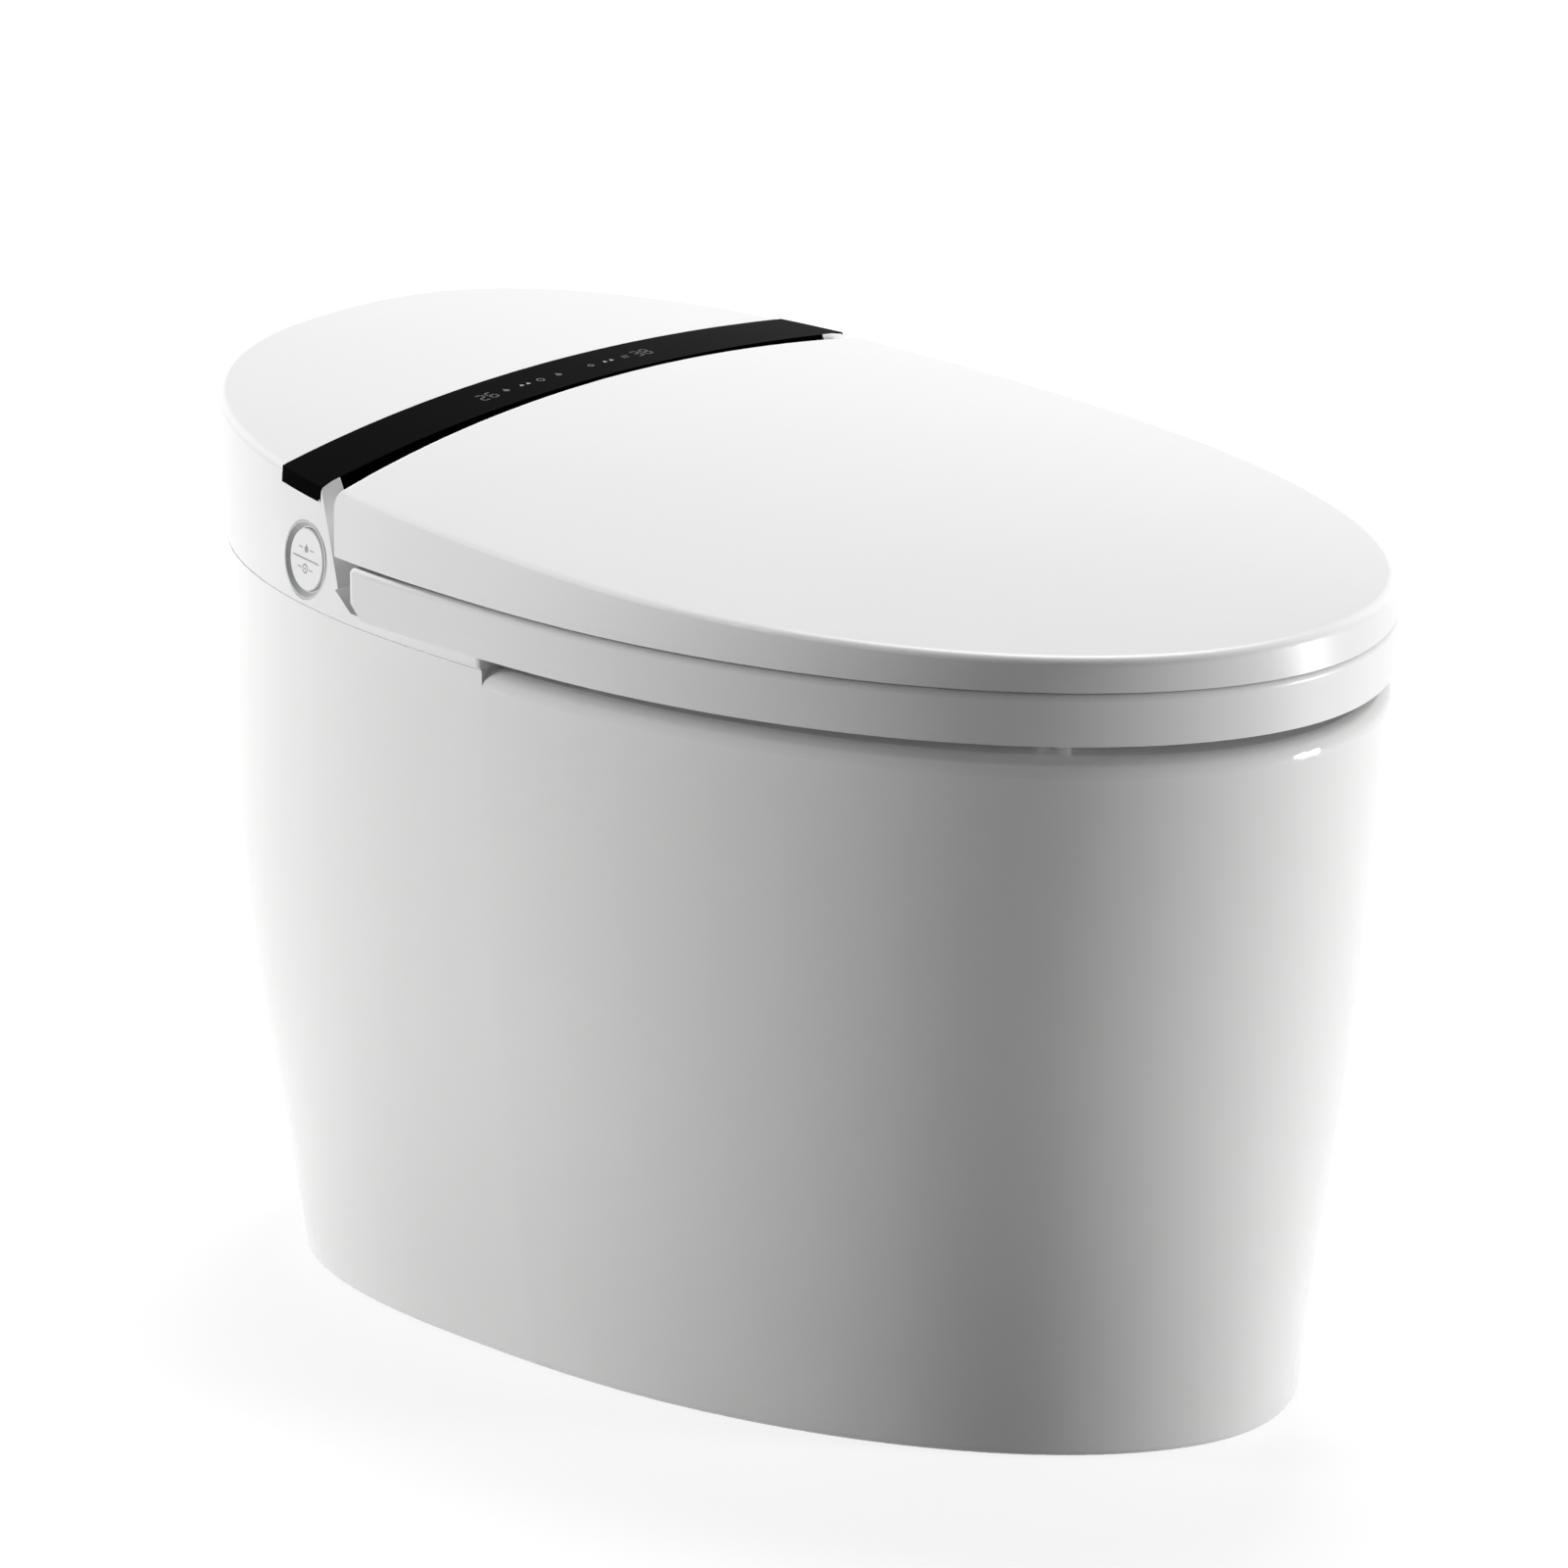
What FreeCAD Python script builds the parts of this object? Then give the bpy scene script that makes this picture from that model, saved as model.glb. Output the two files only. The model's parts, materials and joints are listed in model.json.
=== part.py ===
"""A floor-standing smart toilet with a heated seat, in millimetres.

Frame: +Z is up, the front of the bowl points to -Y, the wall is behind at +Y, and the flush button is on
the -X side. The origin lies on the floor under the middle of the whole.
"""
import FreeCAD, Part
import math
import os
import re
import Sketcher

Vector = FreeCAD.Vector
Rotation = FreeCAD.Rotation
Placement = FreeCAD.Placement
X_AXIS = Vector(1, 0, 0)
Y_AXIS = Vector(0, 1, 0)
Z_AXIS = Vector(0, 0, 1)

# ------------------------------------------------------------------ driving sizes

SIZES = {
    # the whole
    "overall_length": 686,
    "fit_gap": 0.15,           # between pieces that sit in each other and stay there
    "running_gap": 0.05,       # radial, between a shaft and its bearing
    # glazed body: its outline at the floor and at the rim
    "rim_height": 372,
    "base_half_width": 176,
    "base_front": 295,
    "base_rear": 275,
    "base_middle": 20,
    "base_front_power": 1.9,
    "base_rear_power": 3.1,
    "shoulder_half_width": 207,
    "shoulder_front": 341,
    "shoulder_rear": 335,
    "shoulder_middle": 18,
    "shoulder_front_power": 1.97,
    "shoulder_rear_power": 2.4,
    "front_swell": 1.35,
    "rear_swell": 1.3,
    "rear_swell_height": 268,
    "shoulder_round": 9,
    "foot_round": 4,
    "ceramic_wall": 12,
    "deck_thickness": 16,
    # bowl
    "bowl_half_width": 132,
    "bowl_front": 262,
    "bowl_rear": 80,
    "bowl_middle": -20,
    "bowl_power": 2.1,
    "bowl_depth": 222,
    "bowl_wall": 11,
    "rim_lip": 24,
    "rim_undercut": 9,
    "sump_half_width": 40,
    "sump_front": 50,
    "sump_rear": 44,
    # waste way
    "rough_in": 305,
    "wall_distance": 10,
    "trap_bore": 26,
    "trap_wall": 7,
    "trap_bend": 40,
    "trap_weir_height": 245,
    "trap_back": 160,
    "trap_run_height": 85,
    "outlet_height": 22,
    "flange_radius": 78,
    "flange_bore": 45,
    "flange_thickness": 8,
    "flange_bolt_circle": 62.5,
    "flange_bolt_hole": 3.5,
    # opening in the deck for the machinery
    "window_half_width": 132,
    "window_front": 150,
    "window_rear": 285,
    # outline where top and side meet, on the lid and on the housing
    "crest_half_width": 195.4,
    "crest_front": 340,
    "crest_rear": 341.8,
    "crest_middle": 29.6,
    "crest_front_power": 2.19,
    "crest_rear_power": 2.52,
    "crest_round": 4,
    # rear housing
    "crest_height": 436,
    "housing_wall": 3,
    "seam_height": 0.8,
    "seam_depth": 0.8,
    "housing_top": 439.8,
    "housing_slope": 0.0268,
    "housing_crown": 11.1,
    "strip_depth": 35.5,
    "strip_curve": 0.0003,
    "strip_thickness": 8,
    "display_half_width": 72,
    "display_depth": 24,
    "cheek_place": 159,
    "cheek_slant": 0.45,
    "cheek_width": 34,
    "wing_front": 26,
    "wing_width": 24,
    "wing_thickness": 6.5,
    # hinge line
    "hinge_place": 135,
    "hinge_height": 430,
    "hinge_shaft_radius": 4.5,
    "hinge_eye_radius": 7.5,
    "hinge_plate": 6,
    "hinge_plate_place": 97,
    "ear_thickness": 10,
    "ear_gap": 1,
    "swing_gap": 1.2,
    "drive_radius": 10,
    "drive_length": 74,
    # seat
    "seat_bottom": 380,
    "seat_top": 405.6,
    "seat_half_width": 211.5,
    "seat_front": 342,
    "seat_rear": 386,
    "seat_middle": 6.2,
    "seat_power": 1.95,
    "seat_rear_power": 2.95,
    "seat_back": 117,
    "seat_notch_half_width": 105,
    "seat_notch_place": 88,
    "seat_wall": 3.5,
    "seat_round": 3,
    "seat_corner": 10,
    "seat_hole_half_width": 110,
    "seat_hole_front": 232,
    "seat_hole_rear": 50,
    "seat_base_thickness": 4,
    "heater_thickness": 0.8,
    # lid
    "lid_bottom": 407,
    "lid_half_width": 210.7,
    "lid_middle": 6.2,
    "lid_front_power": 1.95,
    "lid_crest_height": 428,
    "lid_top": 442.8,
    "lid_slope": 0.0403,
    "lid_sag": 0.0000359,
    "lid_crown": 15,
    "lid_rear": 163.2,
    "lid_rear_slant": 0.75,
    "lid_wall": 3,
    "lid_round": 5,
    "lid_lip": 6,
    "lid_lip_depth": 12,
    "lid_mouth_half_width": 150,
    "lid_panel_height": 409.4,
    "lid_panel_thickness": 3,
    "lid_panel_rear": 78,
    # flush button
    "button_place": 168,
    "button_height": 394.5,
    "button_ring_radius": 20,
    "button_cap_radius": 15.7,
    "button_travel": 2.5,
    # wash nozzles and drying duct, along a slope that points down into the bowl
    "nozzle_slope": 25,
    "nozzle_place": 92,
    "nozzle_height": 352,
    "wand_radius": 7.5,
    "wand_length": 138,
    "wand_spacing": 24,
    "wand_centre": -10,
    "cradle_width": 56,
    "cradle_height": 24,
    "cradle_start": 14,
    "duct_width": 34,
    "duct_centre": 58,
    "duct_length": 112,
    "duct_wall": 2,
    "hood_wall": 2.5,
    # machinery on the chassis
    "chassis_thickness": 4,
    "chassis_front": 142,
    "blower_radius": 38,
    "blower_height": 40,
    "blower_side": 90,
    "blower_place": 236,
    "blower_rotor_radius": 31,
    "blower_floor": 6,
    "blower_shaft": 2.5,
    "blower_motor_radius": 18,
    "blower_motor_length": 18,
    "fan_side": -76,
    "fan_place": 212,
    "fan_size": 50,
    "fan_height": 22,
    "fan_bore": 22,
    "fan_shaft": 2,
    "carbon_height": 16,
    "heater_side": -132,
    "heater_place": 208,
    "heater_width": 42,
    "heater_length": 76,
    "heater_height": 42,
    "wash_pump_radius": 15,
    "wash_pump_side": -66,
    "wash_pump_place": 257,
    "wash_motor_length": 42,
    "wash_head_length": 22,
    "control_width": 116,
    "control_length": 46,
    "control_height": 26,
    "control_place": 296,
    "control_side": -6,
    "control_wall": 2.5,
    # flushing works below the deck
    "frame_shelf": 130,
    "frame_thickness": 3,
    "frame_front": 202,
    "frame_back": 275,
    "frame_half_width": 112,
    "plate_half_width": 75,
    "works_place": 236,
    "tank_radius": 34,
    "tank_length": 190,
    "tank_side": 92,
    "tank_wall": 3,
    "pump_radius": 32,
    "pump_side": -92,
    "pump_length": 62,
    "pump_wall": 5,
    "motor_radius": 27,
    "motor_length": 96,
    "impeller_radius": 24,
    "impeller_height": 16,
    "impeller_shaft": 4,
    "low_hose_height": 152,
    "jet_hose_height": 160,
    "rim_hose_height": 182,
    "service_height": 250,
    "supply_side": 46,
    "inlet_side": 60,
    "inlet_radius": 10.48,
    "inlet_thread": 11,
    "inlet_collar": 0.5,
    "gland_side": -60,
    "gland_radius": 9,
    "gland_head_radius": 13,
    "hose_radius": 8,
    "hose_bore": 6,
    "hose_bend": 14,
    "screw_radius": 2,
    "screw_head_radius": 4,
    "screw_depth": 12,
}

document = FreeCAD.newDocument("SmartToilet")
sheet = document.addObject("Spreadsheet::Sheet", "Sizes")
for row, (name, value) in enumerate(SIZES.items(), 1):
    sheet.set(f"A{row}", name)
    sheet.set(f"B{row}", str(value))
    sheet.setAlias(f"B{row}", name)
document.recompute()
size = sheet


def formula(text):
    """A formula in the sheet's names, as the expression engine reads it."""
    return re.sub(r"[a-z]+(?:_[a-z]+)+", lambda found: "Sizes." + found.group(), str(text))


def bind(item, **formulas):
    """Tie properties of an object to formulas in the sheet's names."""
    for name, text in formulas.items():
        item.setExpression(name, formula(text))
    return item


def place(item, x="0", y="0", z="0", turn=None):
    """Put an object at a point given by formulas, turned as given."""
    if turn:
        item.Placement = Placement(Vector(), turn)
    for letter, text in zip("xyz", (x, y, z)):
        item.setExpression("Placement.Base." + letter, formula(text))
    return item


# ------------------------------------------------------------------ small building blocks

SUB_PARTS = []
LIE_ALONG_X = Rotation(Y_AXIS, 90)
LIE_ALONG_Y = Rotation(X_AXIS, -90)


def keep(item, label):
    """Name an object as one of the toilet's sub-parts."""
    item.Label = label
    SUB_PARTS.append(item)
    return item


def block(name, width, length, height, x="0", y="0", z="0"):
    """A box centred on x and y that stands on z."""
    item = bind(document.addObject("Part::Box", name), Width=length, Length=width, Height=height)
    return place(item, f"({x}) - ({width}) / 2", f"({y}) - ({length}) / 2", z)


def rod(name, radius, height, x="0", y="0", z="0", turn=None):
    """A cylinder from a point along +Z, or turned to lie along another axis."""
    item = bind(document.addObject("Part::Cylinder", name), Radius=radius, Height=height)
    return place(item, x, y, z, turn)


def join(name, *items):
    """One solid from several."""
    item = document.addObject("Part::MultiFuse", name)
    item.Shapes = list(items)
    return item


def cut(name, base, *tools):
    """A solid less one or more others."""
    item = document.addObject("Part::Cut", name)
    item.Base = base
    item.Tool = tools[0] if len(tools) == 1 else join(name + "_tools", *tools)
    return item


def shaped(name, shape, placement=None):
    """A sub-part from a shape that is worked out here."""
    item = document.addObject("Part::Feature", name)
    item.Shape = shape
    if placement:
        item.Placement = placement
    return keep(item, name)


def new_body(name):
    """An empty body for sketched features."""
    item = document.addObject("PartDesign::Body", name)
    return keep(item, name)


def new_sketch(body, name, role="XY_Plane", lift="0"):
    """A sketch on one of the body's own planes, raised by a formula."""
    sketch = body.newObject("Sketcher::SketchObject", name)
    plane = next(item for item in body.Origin.OriginFeatures if item.Role == role)
    sketch.AttachmentSupport = [(plane, "")]
    sketch.MapMode = "FlatFace"
    sketch.setExpression("AttachmentOffset.Base.z", formula(lift))
    return sketch


def dimension(sketch, kind, parts, text):
    """A sketch dimension tied to a formula."""
    number = sketch.addConstraint(Sketcher.Constraint(kind, *parts, 1.0))
    sketch.setExpression(f"Constraints[{number}]", formula(text))


def draw_circle(sketch, radius, x=None):
    """A circle about the origin, or about a point along the sketch's first axis."""
    index = sketch.addGeometry(Part.Circle(Vector(1, 0, 0), Z_AXIS, 1), False)
    dimension(sketch, "Radius", (index,), radius)
    if x is None:
        sketch.addConstraint(Sketcher.Constraint("Coincident", index, 3, -1, 1))
    else:
        sketch.addConstraint(Sketcher.Constraint("PointOnObject", index, 3, -1))
        dimension(sketch, "DistanceX", (-1, 1, index, 3), x)


def draw_outline(sketch, *corners):
    """A closed outline of straight edges through corners given by formulas."""
    count = len(corners)
    turn = 2 * math.pi / count
    points = [Vector(math.cos(turn * i), math.sin(turn * i), 0) for i in range(count)]
    for i in range(count):
        sketch.addGeometry(Part.LineSegment(points[i], points[(i + 1) % count]), False)
    for i in range(count):
        sketch.addConstraint(Sketcher.Constraint("Coincident", i, 2, (i + 1) % count, 1))
    for i, (x, y) in enumerate(corners):
        dimension(sketch, "DistanceX", (-1, 1, i, 1), x)
        dimension(sketch, "DistanceY", (-1, 1, i, 1), y)


def pad(body, sketch, length, name, both_ways=False):
    """Thicken a sketch."""
    item = body.newObject("PartDesign::Pad", name)
    item.Profile = sketch
    item.Midplane = both_ways
    return bind(item, Length=length)


def pocket(body, sketch, length, name, reverse=False):
    """Sink a sketch into the body."""
    item = body.newObject("PartDesign::Pocket", name)
    item.Profile = sketch
    item.Reversed = reverse
    return bind(item, Length=length)


def revolve(body, sketch, name, axis="V_Axis"):
    """Turn a sketch full circle about one of its axes."""
    item = body.newObject("PartDesign::Revolution", name)
    item.Profile = sketch
    item.ReferenceAxis = (sketch, [axis])
    item.Angle = 360
    return item


def repeat(body, feature, sketch, count, name):
    """Repeat a feature around the sketch's normal."""
    item = body.newObject("PartDesign::PolarPattern", name)
    item.Originals = [feature]
    item.Axis = (sketch, ["N_Axis"])
    item.Angle = 360
    item.Occurrences = count
    body.Tip = item
    return item


def turned(name, *corners):
    """A sub-part turned about Z from its half section, radius first and height second."""
    body = new_body(name)
    sketch = new_sketch(body, name + "_section", "XZ_Plane")
    draw_outline(sketch, *corners)
    revolve(body, sketch, name + "_turned")
    return body


def box_between(low, high):
    """A box from its lowest to its highest corner."""
    return Part.makeBox(*(high - low), low)


def edges_of_top(shape):
    """The edges around the face that looks up most broadly."""
    faces = [face for face in shape.Faces if face.normalAt(*middle_of(face)).z > 0.9]
    return max(faces, key=lambda face: face.Area).Edges


def middle_of(face):
    """The middle of a face in its own two parameters."""
    u_low, u_high, v_low, v_high = face.ParameterRange
    return (u_low + u_high) / 2, (v_low + v_high) / 2


# ------------------------------------------------------------------ outlines and surfaces

OUTLINE_POINTS = 40
FAR = 500.0                    # further out than anything on the toilet
SKY = 470.0                    # higher than anything on the toilet
REAR = size.overall_length / 2


def blend(low, high, share):
    """A value part of the way from one to another."""
    return low + (high - low) * share


class Outline:
    """An egg-shaped plan: a half width, a front, a rear and a middle, with a roundness at each end."""

    def __init__(self, half_width, front, rear, middle, front_power, rear_power):
        self.values = (half_width, front, rear, middle, front_power, rear_power)

    def towards(self, other, share, front_share=None, rear_share=None):
        """The outline part of the way to another one."""
        shares = (share, share if front_share is None else front_share,
                  share if rear_share is None else rear_share, share, share, share)
        return Outline(*(blend(a, b, s) for a, b, s in zip(self.values, other.values, shares)))

    def inset(self, gap):
        """The outline drawn in all round."""
        half_width, front, rear, middle, front_power, rear_power = self.values
        return Outline(half_width - gap, front + gap, rear - gap, middle, front_power, rear_power)

    def point(self, turn, height):
        """The point at an angle from +X."""
        half_width, front, rear, middle, front_power, rear_power = self.values
        across, along = math.cos(turn), math.sin(turn)
        power, reach = (rear_power, rear - middle) if along > 0 else (front_power, middle - front)
        return Vector(
            half_width * math.copysign(abs(across) ** (2 / power), across),
            middle + reach * math.copysign(abs(along) ** (2 / power), along),
            height)

    def half_width_at(self, place):
        """Half the width at a distance along Y."""
        half_width, front, rear, middle, front_power, rear_power = self.values
        power, reach = (rear_power, rear - middle) if place > middle else (front_power, middle - front)
        share = min(1.0, abs(place - middle) / reach)
        return half_width * (1 - share ** power) ** (1 / power)

    def wire(self, height):
        """The closed smooth curve at a height, with its seam at the rear."""
        step = 2 * math.pi / OUTLINE_POINTS
        curve = Part.BSplineCurve()
        points = [self.point(math.pi / 2 + (i + 0.5) * step, height) for i in range(OUTLINE_POINTS)]
        curve.interpolate(Points=points, PeriodicFlag=True)
        return Part.Wire([curve.toShape()])

    def prism(self, low, high):
        """The solid with this outline between two heights."""
        return Part.Face(self.wire(low)).extrude(Vector(0, 0, high - low))


def loft(sections, ruled=False):
    """The solid through outlines at heights, given as pairs."""
    return Part.makeLoft([outline.wire(height) for outline, height in sections], True, ruled)


def below_crown(top, slope, sag, crown, half_width, drop=0.0):
    """Everything under a crowned surface: its height falls off to both sides and along Y."""
    wires = []
    for place_y in (-FAR, 0.0, FAR):
        middle = top - drop + slope * place_y - sag * place_y ** 2
        side = middle - crown * (FAR / half_width) ** 2 / 4
        left, right = Vector(-FAR / 2, place_y, side), Vector(FAR / 2, place_y, side)
        low_left, low_right = Vector(-FAR / 2, place_y, -FAR), Vector(FAR / 2, place_y, -FAR)
        arc = Part.Arc(left, Vector(0, place_y, middle), right).toShape()
        lines = Part.makePolygon([right, low_right, low_left, left])
        wires.append(Part.Wire([arc] + lines.Edges))
    return Part.makeLoft(wires, True, False)


def behind(place_y, curve, low, high):
    """Everything behind a plan curve that bows to the rear in the middle."""
    side = place_y - curve * (FAR / 2) ** 2
    left, right = Vector(-FAR / 2, side, low), Vector(FAR / 2, side, low)
    arc = Part.Arc(left, Vector(0, place_y, low), right).toShape()
    lines = Part.makePolygon([right, Vector(FAR / 2, FAR, low), Vector(-FAR / 2, FAR, low), left])
    return Part.Face(Part.Wire([arc] + lines.Edges)).extrude(Vector(0, 0, high - low))


def side_prism(corners, low_x, high_x):
    """The solid between two X planes with a straight-edged side view, as (y, z) corners."""
    points = [Vector(low_x, y, z) for y, z in corners]
    return Part.Face(Part.makePolygon(points + points[:1])).extrude(Vector(high_x - low_x, 0, 0))


def rounded_path(points, radius):
    """A wire of straight runs through points, joined by tangent arcs."""
    edges, start = [], points[0]
    for before, corner, after in zip(points, points[1:], points[2:]):
        back, onward = (before - corner).normalize(), (after - corner).normalize()
        half_turn = (math.pi - back.getAngle(onward)) / 2
        reach = radius * math.tan(half_turn)
        first, last = corner + back * reach, corner + onward * reach
        bisector = (back + onward).normalize()
        middle = corner + bisector * (radius / math.cos(half_turn) - radius)
        edges += [Part.makeLine(start, first), Part.Arc(first, middle, last).toShape()]
        start = last
    edges.append(Part.makeLine(start, points[-1]))
    return Part.Wire(edges)


def pipe(points, radius, bend):
    """A round solid along a rounded path."""
    path = rounded_path(points, bend)
    circle = Part.Circle(points[0], points[1] - points[0], radius).toShape()
    return path.makePipeShell([Part.Wire([circle])], True, False)


def tube(points, radius, bore, bend):
    """A round pipe along a rounded path, open at both ends."""
    return pipe(points, radius, bend).cut(pipe(points, bore, bend))


FOOT = Outline(size.base_half_width, -size.base_front, size.base_rear, size.base_middle,
               size.base_front_power, size.base_rear_power)
SHOULDER = Outline(size.shoulder_half_width, -size.shoulder_front, size.shoulder_rear,
                   size.shoulder_middle, size.shoulder_front_power, size.shoulder_rear_power)
CREST = Outline(size.crest_half_width, -size.crest_front, size.crest_rear, size.crest_middle,
                size.crest_front_power, size.crest_rear_power)
BOWL = Outline(size.bowl_half_width, -size.bowl_front, size.bowl_rear, size.bowl_middle,
               size.bowl_power, size.bowl_power)
SUMP = Outline(size.sump_half_width, -size.sump_front, size.sump_rear, 0, size.bowl_power,
               size.bowl_power)
SEAT = Outline(size.seat_half_width, -size.seat_front, size.seat_rear, size.seat_middle,
               size.seat_power, size.seat_rear_power)
SEAT_HOLE = Outline(size.seat_hole_half_width, -size.seat_hole_front, size.seat_hole_rear,
                    size.bowl_middle, size.bowl_power, size.bowl_power)
LID_EDGE = Outline(size.lid_half_width, -REAR, REAR, size.lid_middle, size.lid_front_power,
                   size.crest_rear_power)
LID_CREST = Outline(size.crest_half_width, -size.crest_front, size.crest_rear, size.crest_middle,
                    size.crest_front_power, size.crest_rear_power)


def body_outline(height):
    """The glazed body's outline, which swells from the floor to the shoulder."""
    share = height / size.rim_height
    front = 1 - (1 - share) ** size.front_swell
    rear = math.sin(math.pi / 2 * min(1.0, height / size.rear_swell_height)) ** size.rear_swell
    return FOOT.towards(SHOULDER, (front + rear) / 2, front, rear)


def housing_outline(height):
    """The housing's outline, which draws in evenly from the seam to above its crest."""
    share = (height - size.rim_height) / (size.crest_height - size.rim_height)
    return body_outline(size.rim_height).towards(CREST, share)


def housing_block(gap):
    """The housing's outer form, drawn in by a gap at the sides and the top."""
    sides = loft([(housing_outline(z).inset(gap), z) for z in (size.rim_height, SKY)], ruled=True)
    return sides.common(housing_crown(gap))


def housing_crown(drop):
    """Everything under the housing's top, lowered by some depth."""
    return below_crown(size.housing_top, size.housing_slope, 0, size.housing_crown,
                       size.crest_half_width, drop)


def lid_height(y):
    """The height of the lid's top along its middle."""
    return size.lid_top + size.lid_slope * y - size.lid_sag * y ** 2


def lid_crown(drop):
    """Everything under the lid's top, lowered by some depth."""
    return below_crown(size.lid_top, size.lid_slope, size.lid_sag, size.lid_crown,
                       size.crest_half_width, drop)


# the lid's rear lip swings down past the front wall of the housing, which stands just clear of it
LIP_HEIGHT = lid_height(size.lid_rear) - size.hinge_height
LIP_REACH = size.lid_round + math.hypot(size.lid_rear - size.lid_round - size.hinge_place,
                                        LIP_HEIGHT - size.lid_round)
STRIP_FRONT = size.hinge_place + LIP_REACH + size.swing_gap
STRIP_BACK = STRIP_FRONT + size.strip_depth
LID_REAR_CURVE = size.lid_rear_slant * size.lid_crown / size.crest_half_width ** 2
OUTLET_PLACE = REAR + size.wall_distance - size.rough_in
OUTLET_FORMULA = "overall_length / 2 + wall_distance - rough_in"
SLOPE = math.radians(size.nozzle_slope)
NOZZLE_PLACEMENT = Placement(Vector(0, size.nozzle_place, size.nozzle_height),
                             Rotation(X_AXIS, size.nozzle_slope))
HOOD_LEFT = size.wand_centre - size.cradle_width / 2 - size.hood_wall - size.fit_gap
HOOD_RIGHT = size.duct_centre + size.duct_width / 2 + size.hood_wall + size.fit_gap
HOOD_HALF_HEIGHT = size.cradle_height / 2 + size.hood_wall + size.fit_gap
HOOD_LENGTH = (STRIP_FRONT - size.nozzle_place) / math.cos(SLOPE)


# ------------------------------------------------------------------ glazed body and its waste way

def service_point(side, y):
    """A point on a line through the rear wall where a connection passes."""
    return Vector(side, y, size.service_height)


def bowl_sections(gap):
    """The bowl's outlines from the rim down to the sump, widened by a wall."""
    top, depth = size.rim_height, size.bowl_depth
    lip = top - size.rim_lip
    under = BOWL.inset(-size.rim_undercut)
    shares = ((0.35, 0.04), (0.58, 0.22), (0.78, 0.56), (0.92, 0.86), (1.0, 1.0))
    sections = [(BOWL, top + 1), (BOWL, lip), (under, lip - size.rim_undercut)]
    sections += [(under.towards(SUMP, share), top - depth * down) for down, share in shares]
    return [(outline.inset(-gap), height - gap * (height < lip)) for outline, height in sections]


def trap_points():
    """The middle line of the waste way, from the sump over the weir to the floor."""
    sump = size.rim_height - size.bowl_depth
    line = [(0, sump + 22), (60, sump + 10), (85, size.trap_weir_height),
            (size.trap_back, size.trap_weir_height), (size.trap_back, size.trap_run_height),
            (OUTLET_PLACE, size.trap_run_height), (OUTLET_PLACE, size.outlet_height)]
    return [Vector(0, y, z) for y, z in line]


def jet_points():
    """The middle line of the hose from the flushing pump to the jet in the sump's side."""
    start = size.works_place - size.pump_radius + size.pump_wall - 1
    x, z = size.pump_side, size.jet_hose_height
    return [Vector(x, start, z), Vector(x, 10, z), Vector(-size.sump_half_width, 10, z)]


def rim_points():
    """The middle line of the hose from the flushing pump to the rim."""
    start = size.works_place - size.pump_radius + size.pump_wall - 1
    x, low, high = size.pump_side, size.rim_hose_height, size.rim_height - size.deck_thickness - 22
    return [Vector(x, start, low), Vector(x, start - 50, low), Vector(x, start - 50, high),
            Vector(x, 40, high)]


def both_sides(*spots):
    """Each spot on the left and on the right."""
    return [(side * x, y) for x, y in spots for side in (-1, 1)]


HINGE_SCREWS = both_sides((size.hinge_plate_place - 8, size.hinge_place - 13))
CHASSIS_SCREWS = both_sides((150, 150), (96, 292))


def hood_channel(gap):
    """The sloped way through the deck for the nozzle hood, in the body's frame."""
    low = Vector(HOOD_LEFT - gap, -60, -HOOD_HALF_HEIGHT - gap)
    high = Vector(HOOD_RIGHT + gap, HOOD_LENGTH + 20, HOOD_HALF_HEIGHT + gap)
    channel = box_between(low, high)
    channel.Placement = NOZZLE_PLACEMENT
    return channel


def make_ceramic_body():
    """A skirted shell with a deck, a bowl with a rim, a waste way and an opening for the machinery."""
    heights = [size.rim_height * share for share in (0, 0.08, 0.17, 0.35, 0.53, 0.72, 0.88, 1)]
    outer = loft([(body_outline(z), z) for z in heights])
    foot = [edge for edge in outer.Edges if edge.BoundBox.ZMax < 1]
    outer = outer.makeFillet(size.foot_round, foot)
    rim = [edge for edge in outer.Edges if edge.BoundBox.ZMin > size.rim_height - 1]
    rounded = outer.makeFillet(size.shoulder_round, rim)
    front = box_between(Vector(-FAR, -FAR, -1), Vector(FAR, size.wing_front, FAR))
    skirt = rounded.common(front).fuse(outer.cut(front))
    deck = size.rim_height - size.deck_thickness
    hollow_heights = [height for height in heights if height < deck - 20] + [deck]
    hollow = loft([(body_outline(max(z, 0)).inset(size.ceramic_wall), z - (z == 0))
                   for z in hollow_heights])
    trap = trap_points()
    solid = skirt.cut(hollow)
    solid = solid.fuse(loft(bowl_sections(size.bowl_wall)).common(skirt))
    solid = solid.fuse(pipe(trap, size.trap_bore + size.trap_wall, size.trap_bend))
    solid = solid.cut(loft(bowl_sections(0)))
    ahead = [trap[0] - (trap[1] - trap[0]) * 0.2] + trap[1:]
    solid = solid.cut(pipe(ahead, size.trap_bore, size.trap_bend))
    solid = solid.cut(hood_channel(size.fit_gap))
    solid = solid.cut(box_between(Vector(-size.window_half_width, size.window_front, deck - 1),
                                  Vector(size.window_half_width, size.window_rear, FAR)))
    for side, radius in ((size.inlet_side, size.inlet_radius), (size.gland_side, size.gland_radius)):
        start = service_point(side, size.frame_back + 10)
        solid = solid.cut(Part.makeCylinder(radius + 1.5, FAR, start, Y_AXIS))
    for x, y in HINGE_SCREWS + CHASSIS_SCREWS:
        low = Vector(x, y, size.rim_height - size.screw_depth - 1)
        solid = solid.cut(Part.makeCylinder(size.screw_radius + size.fit_gap, FAR, low))
    for points in (jet_points(), rim_points()):
        solid = solid.cut(pipe(points, size.hose_bore, size.hose_bend))
    return max(solid.Solids, key=lambda piece: piece.Volume)


shaped("ceramic_body", make_ceramic_body())


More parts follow.
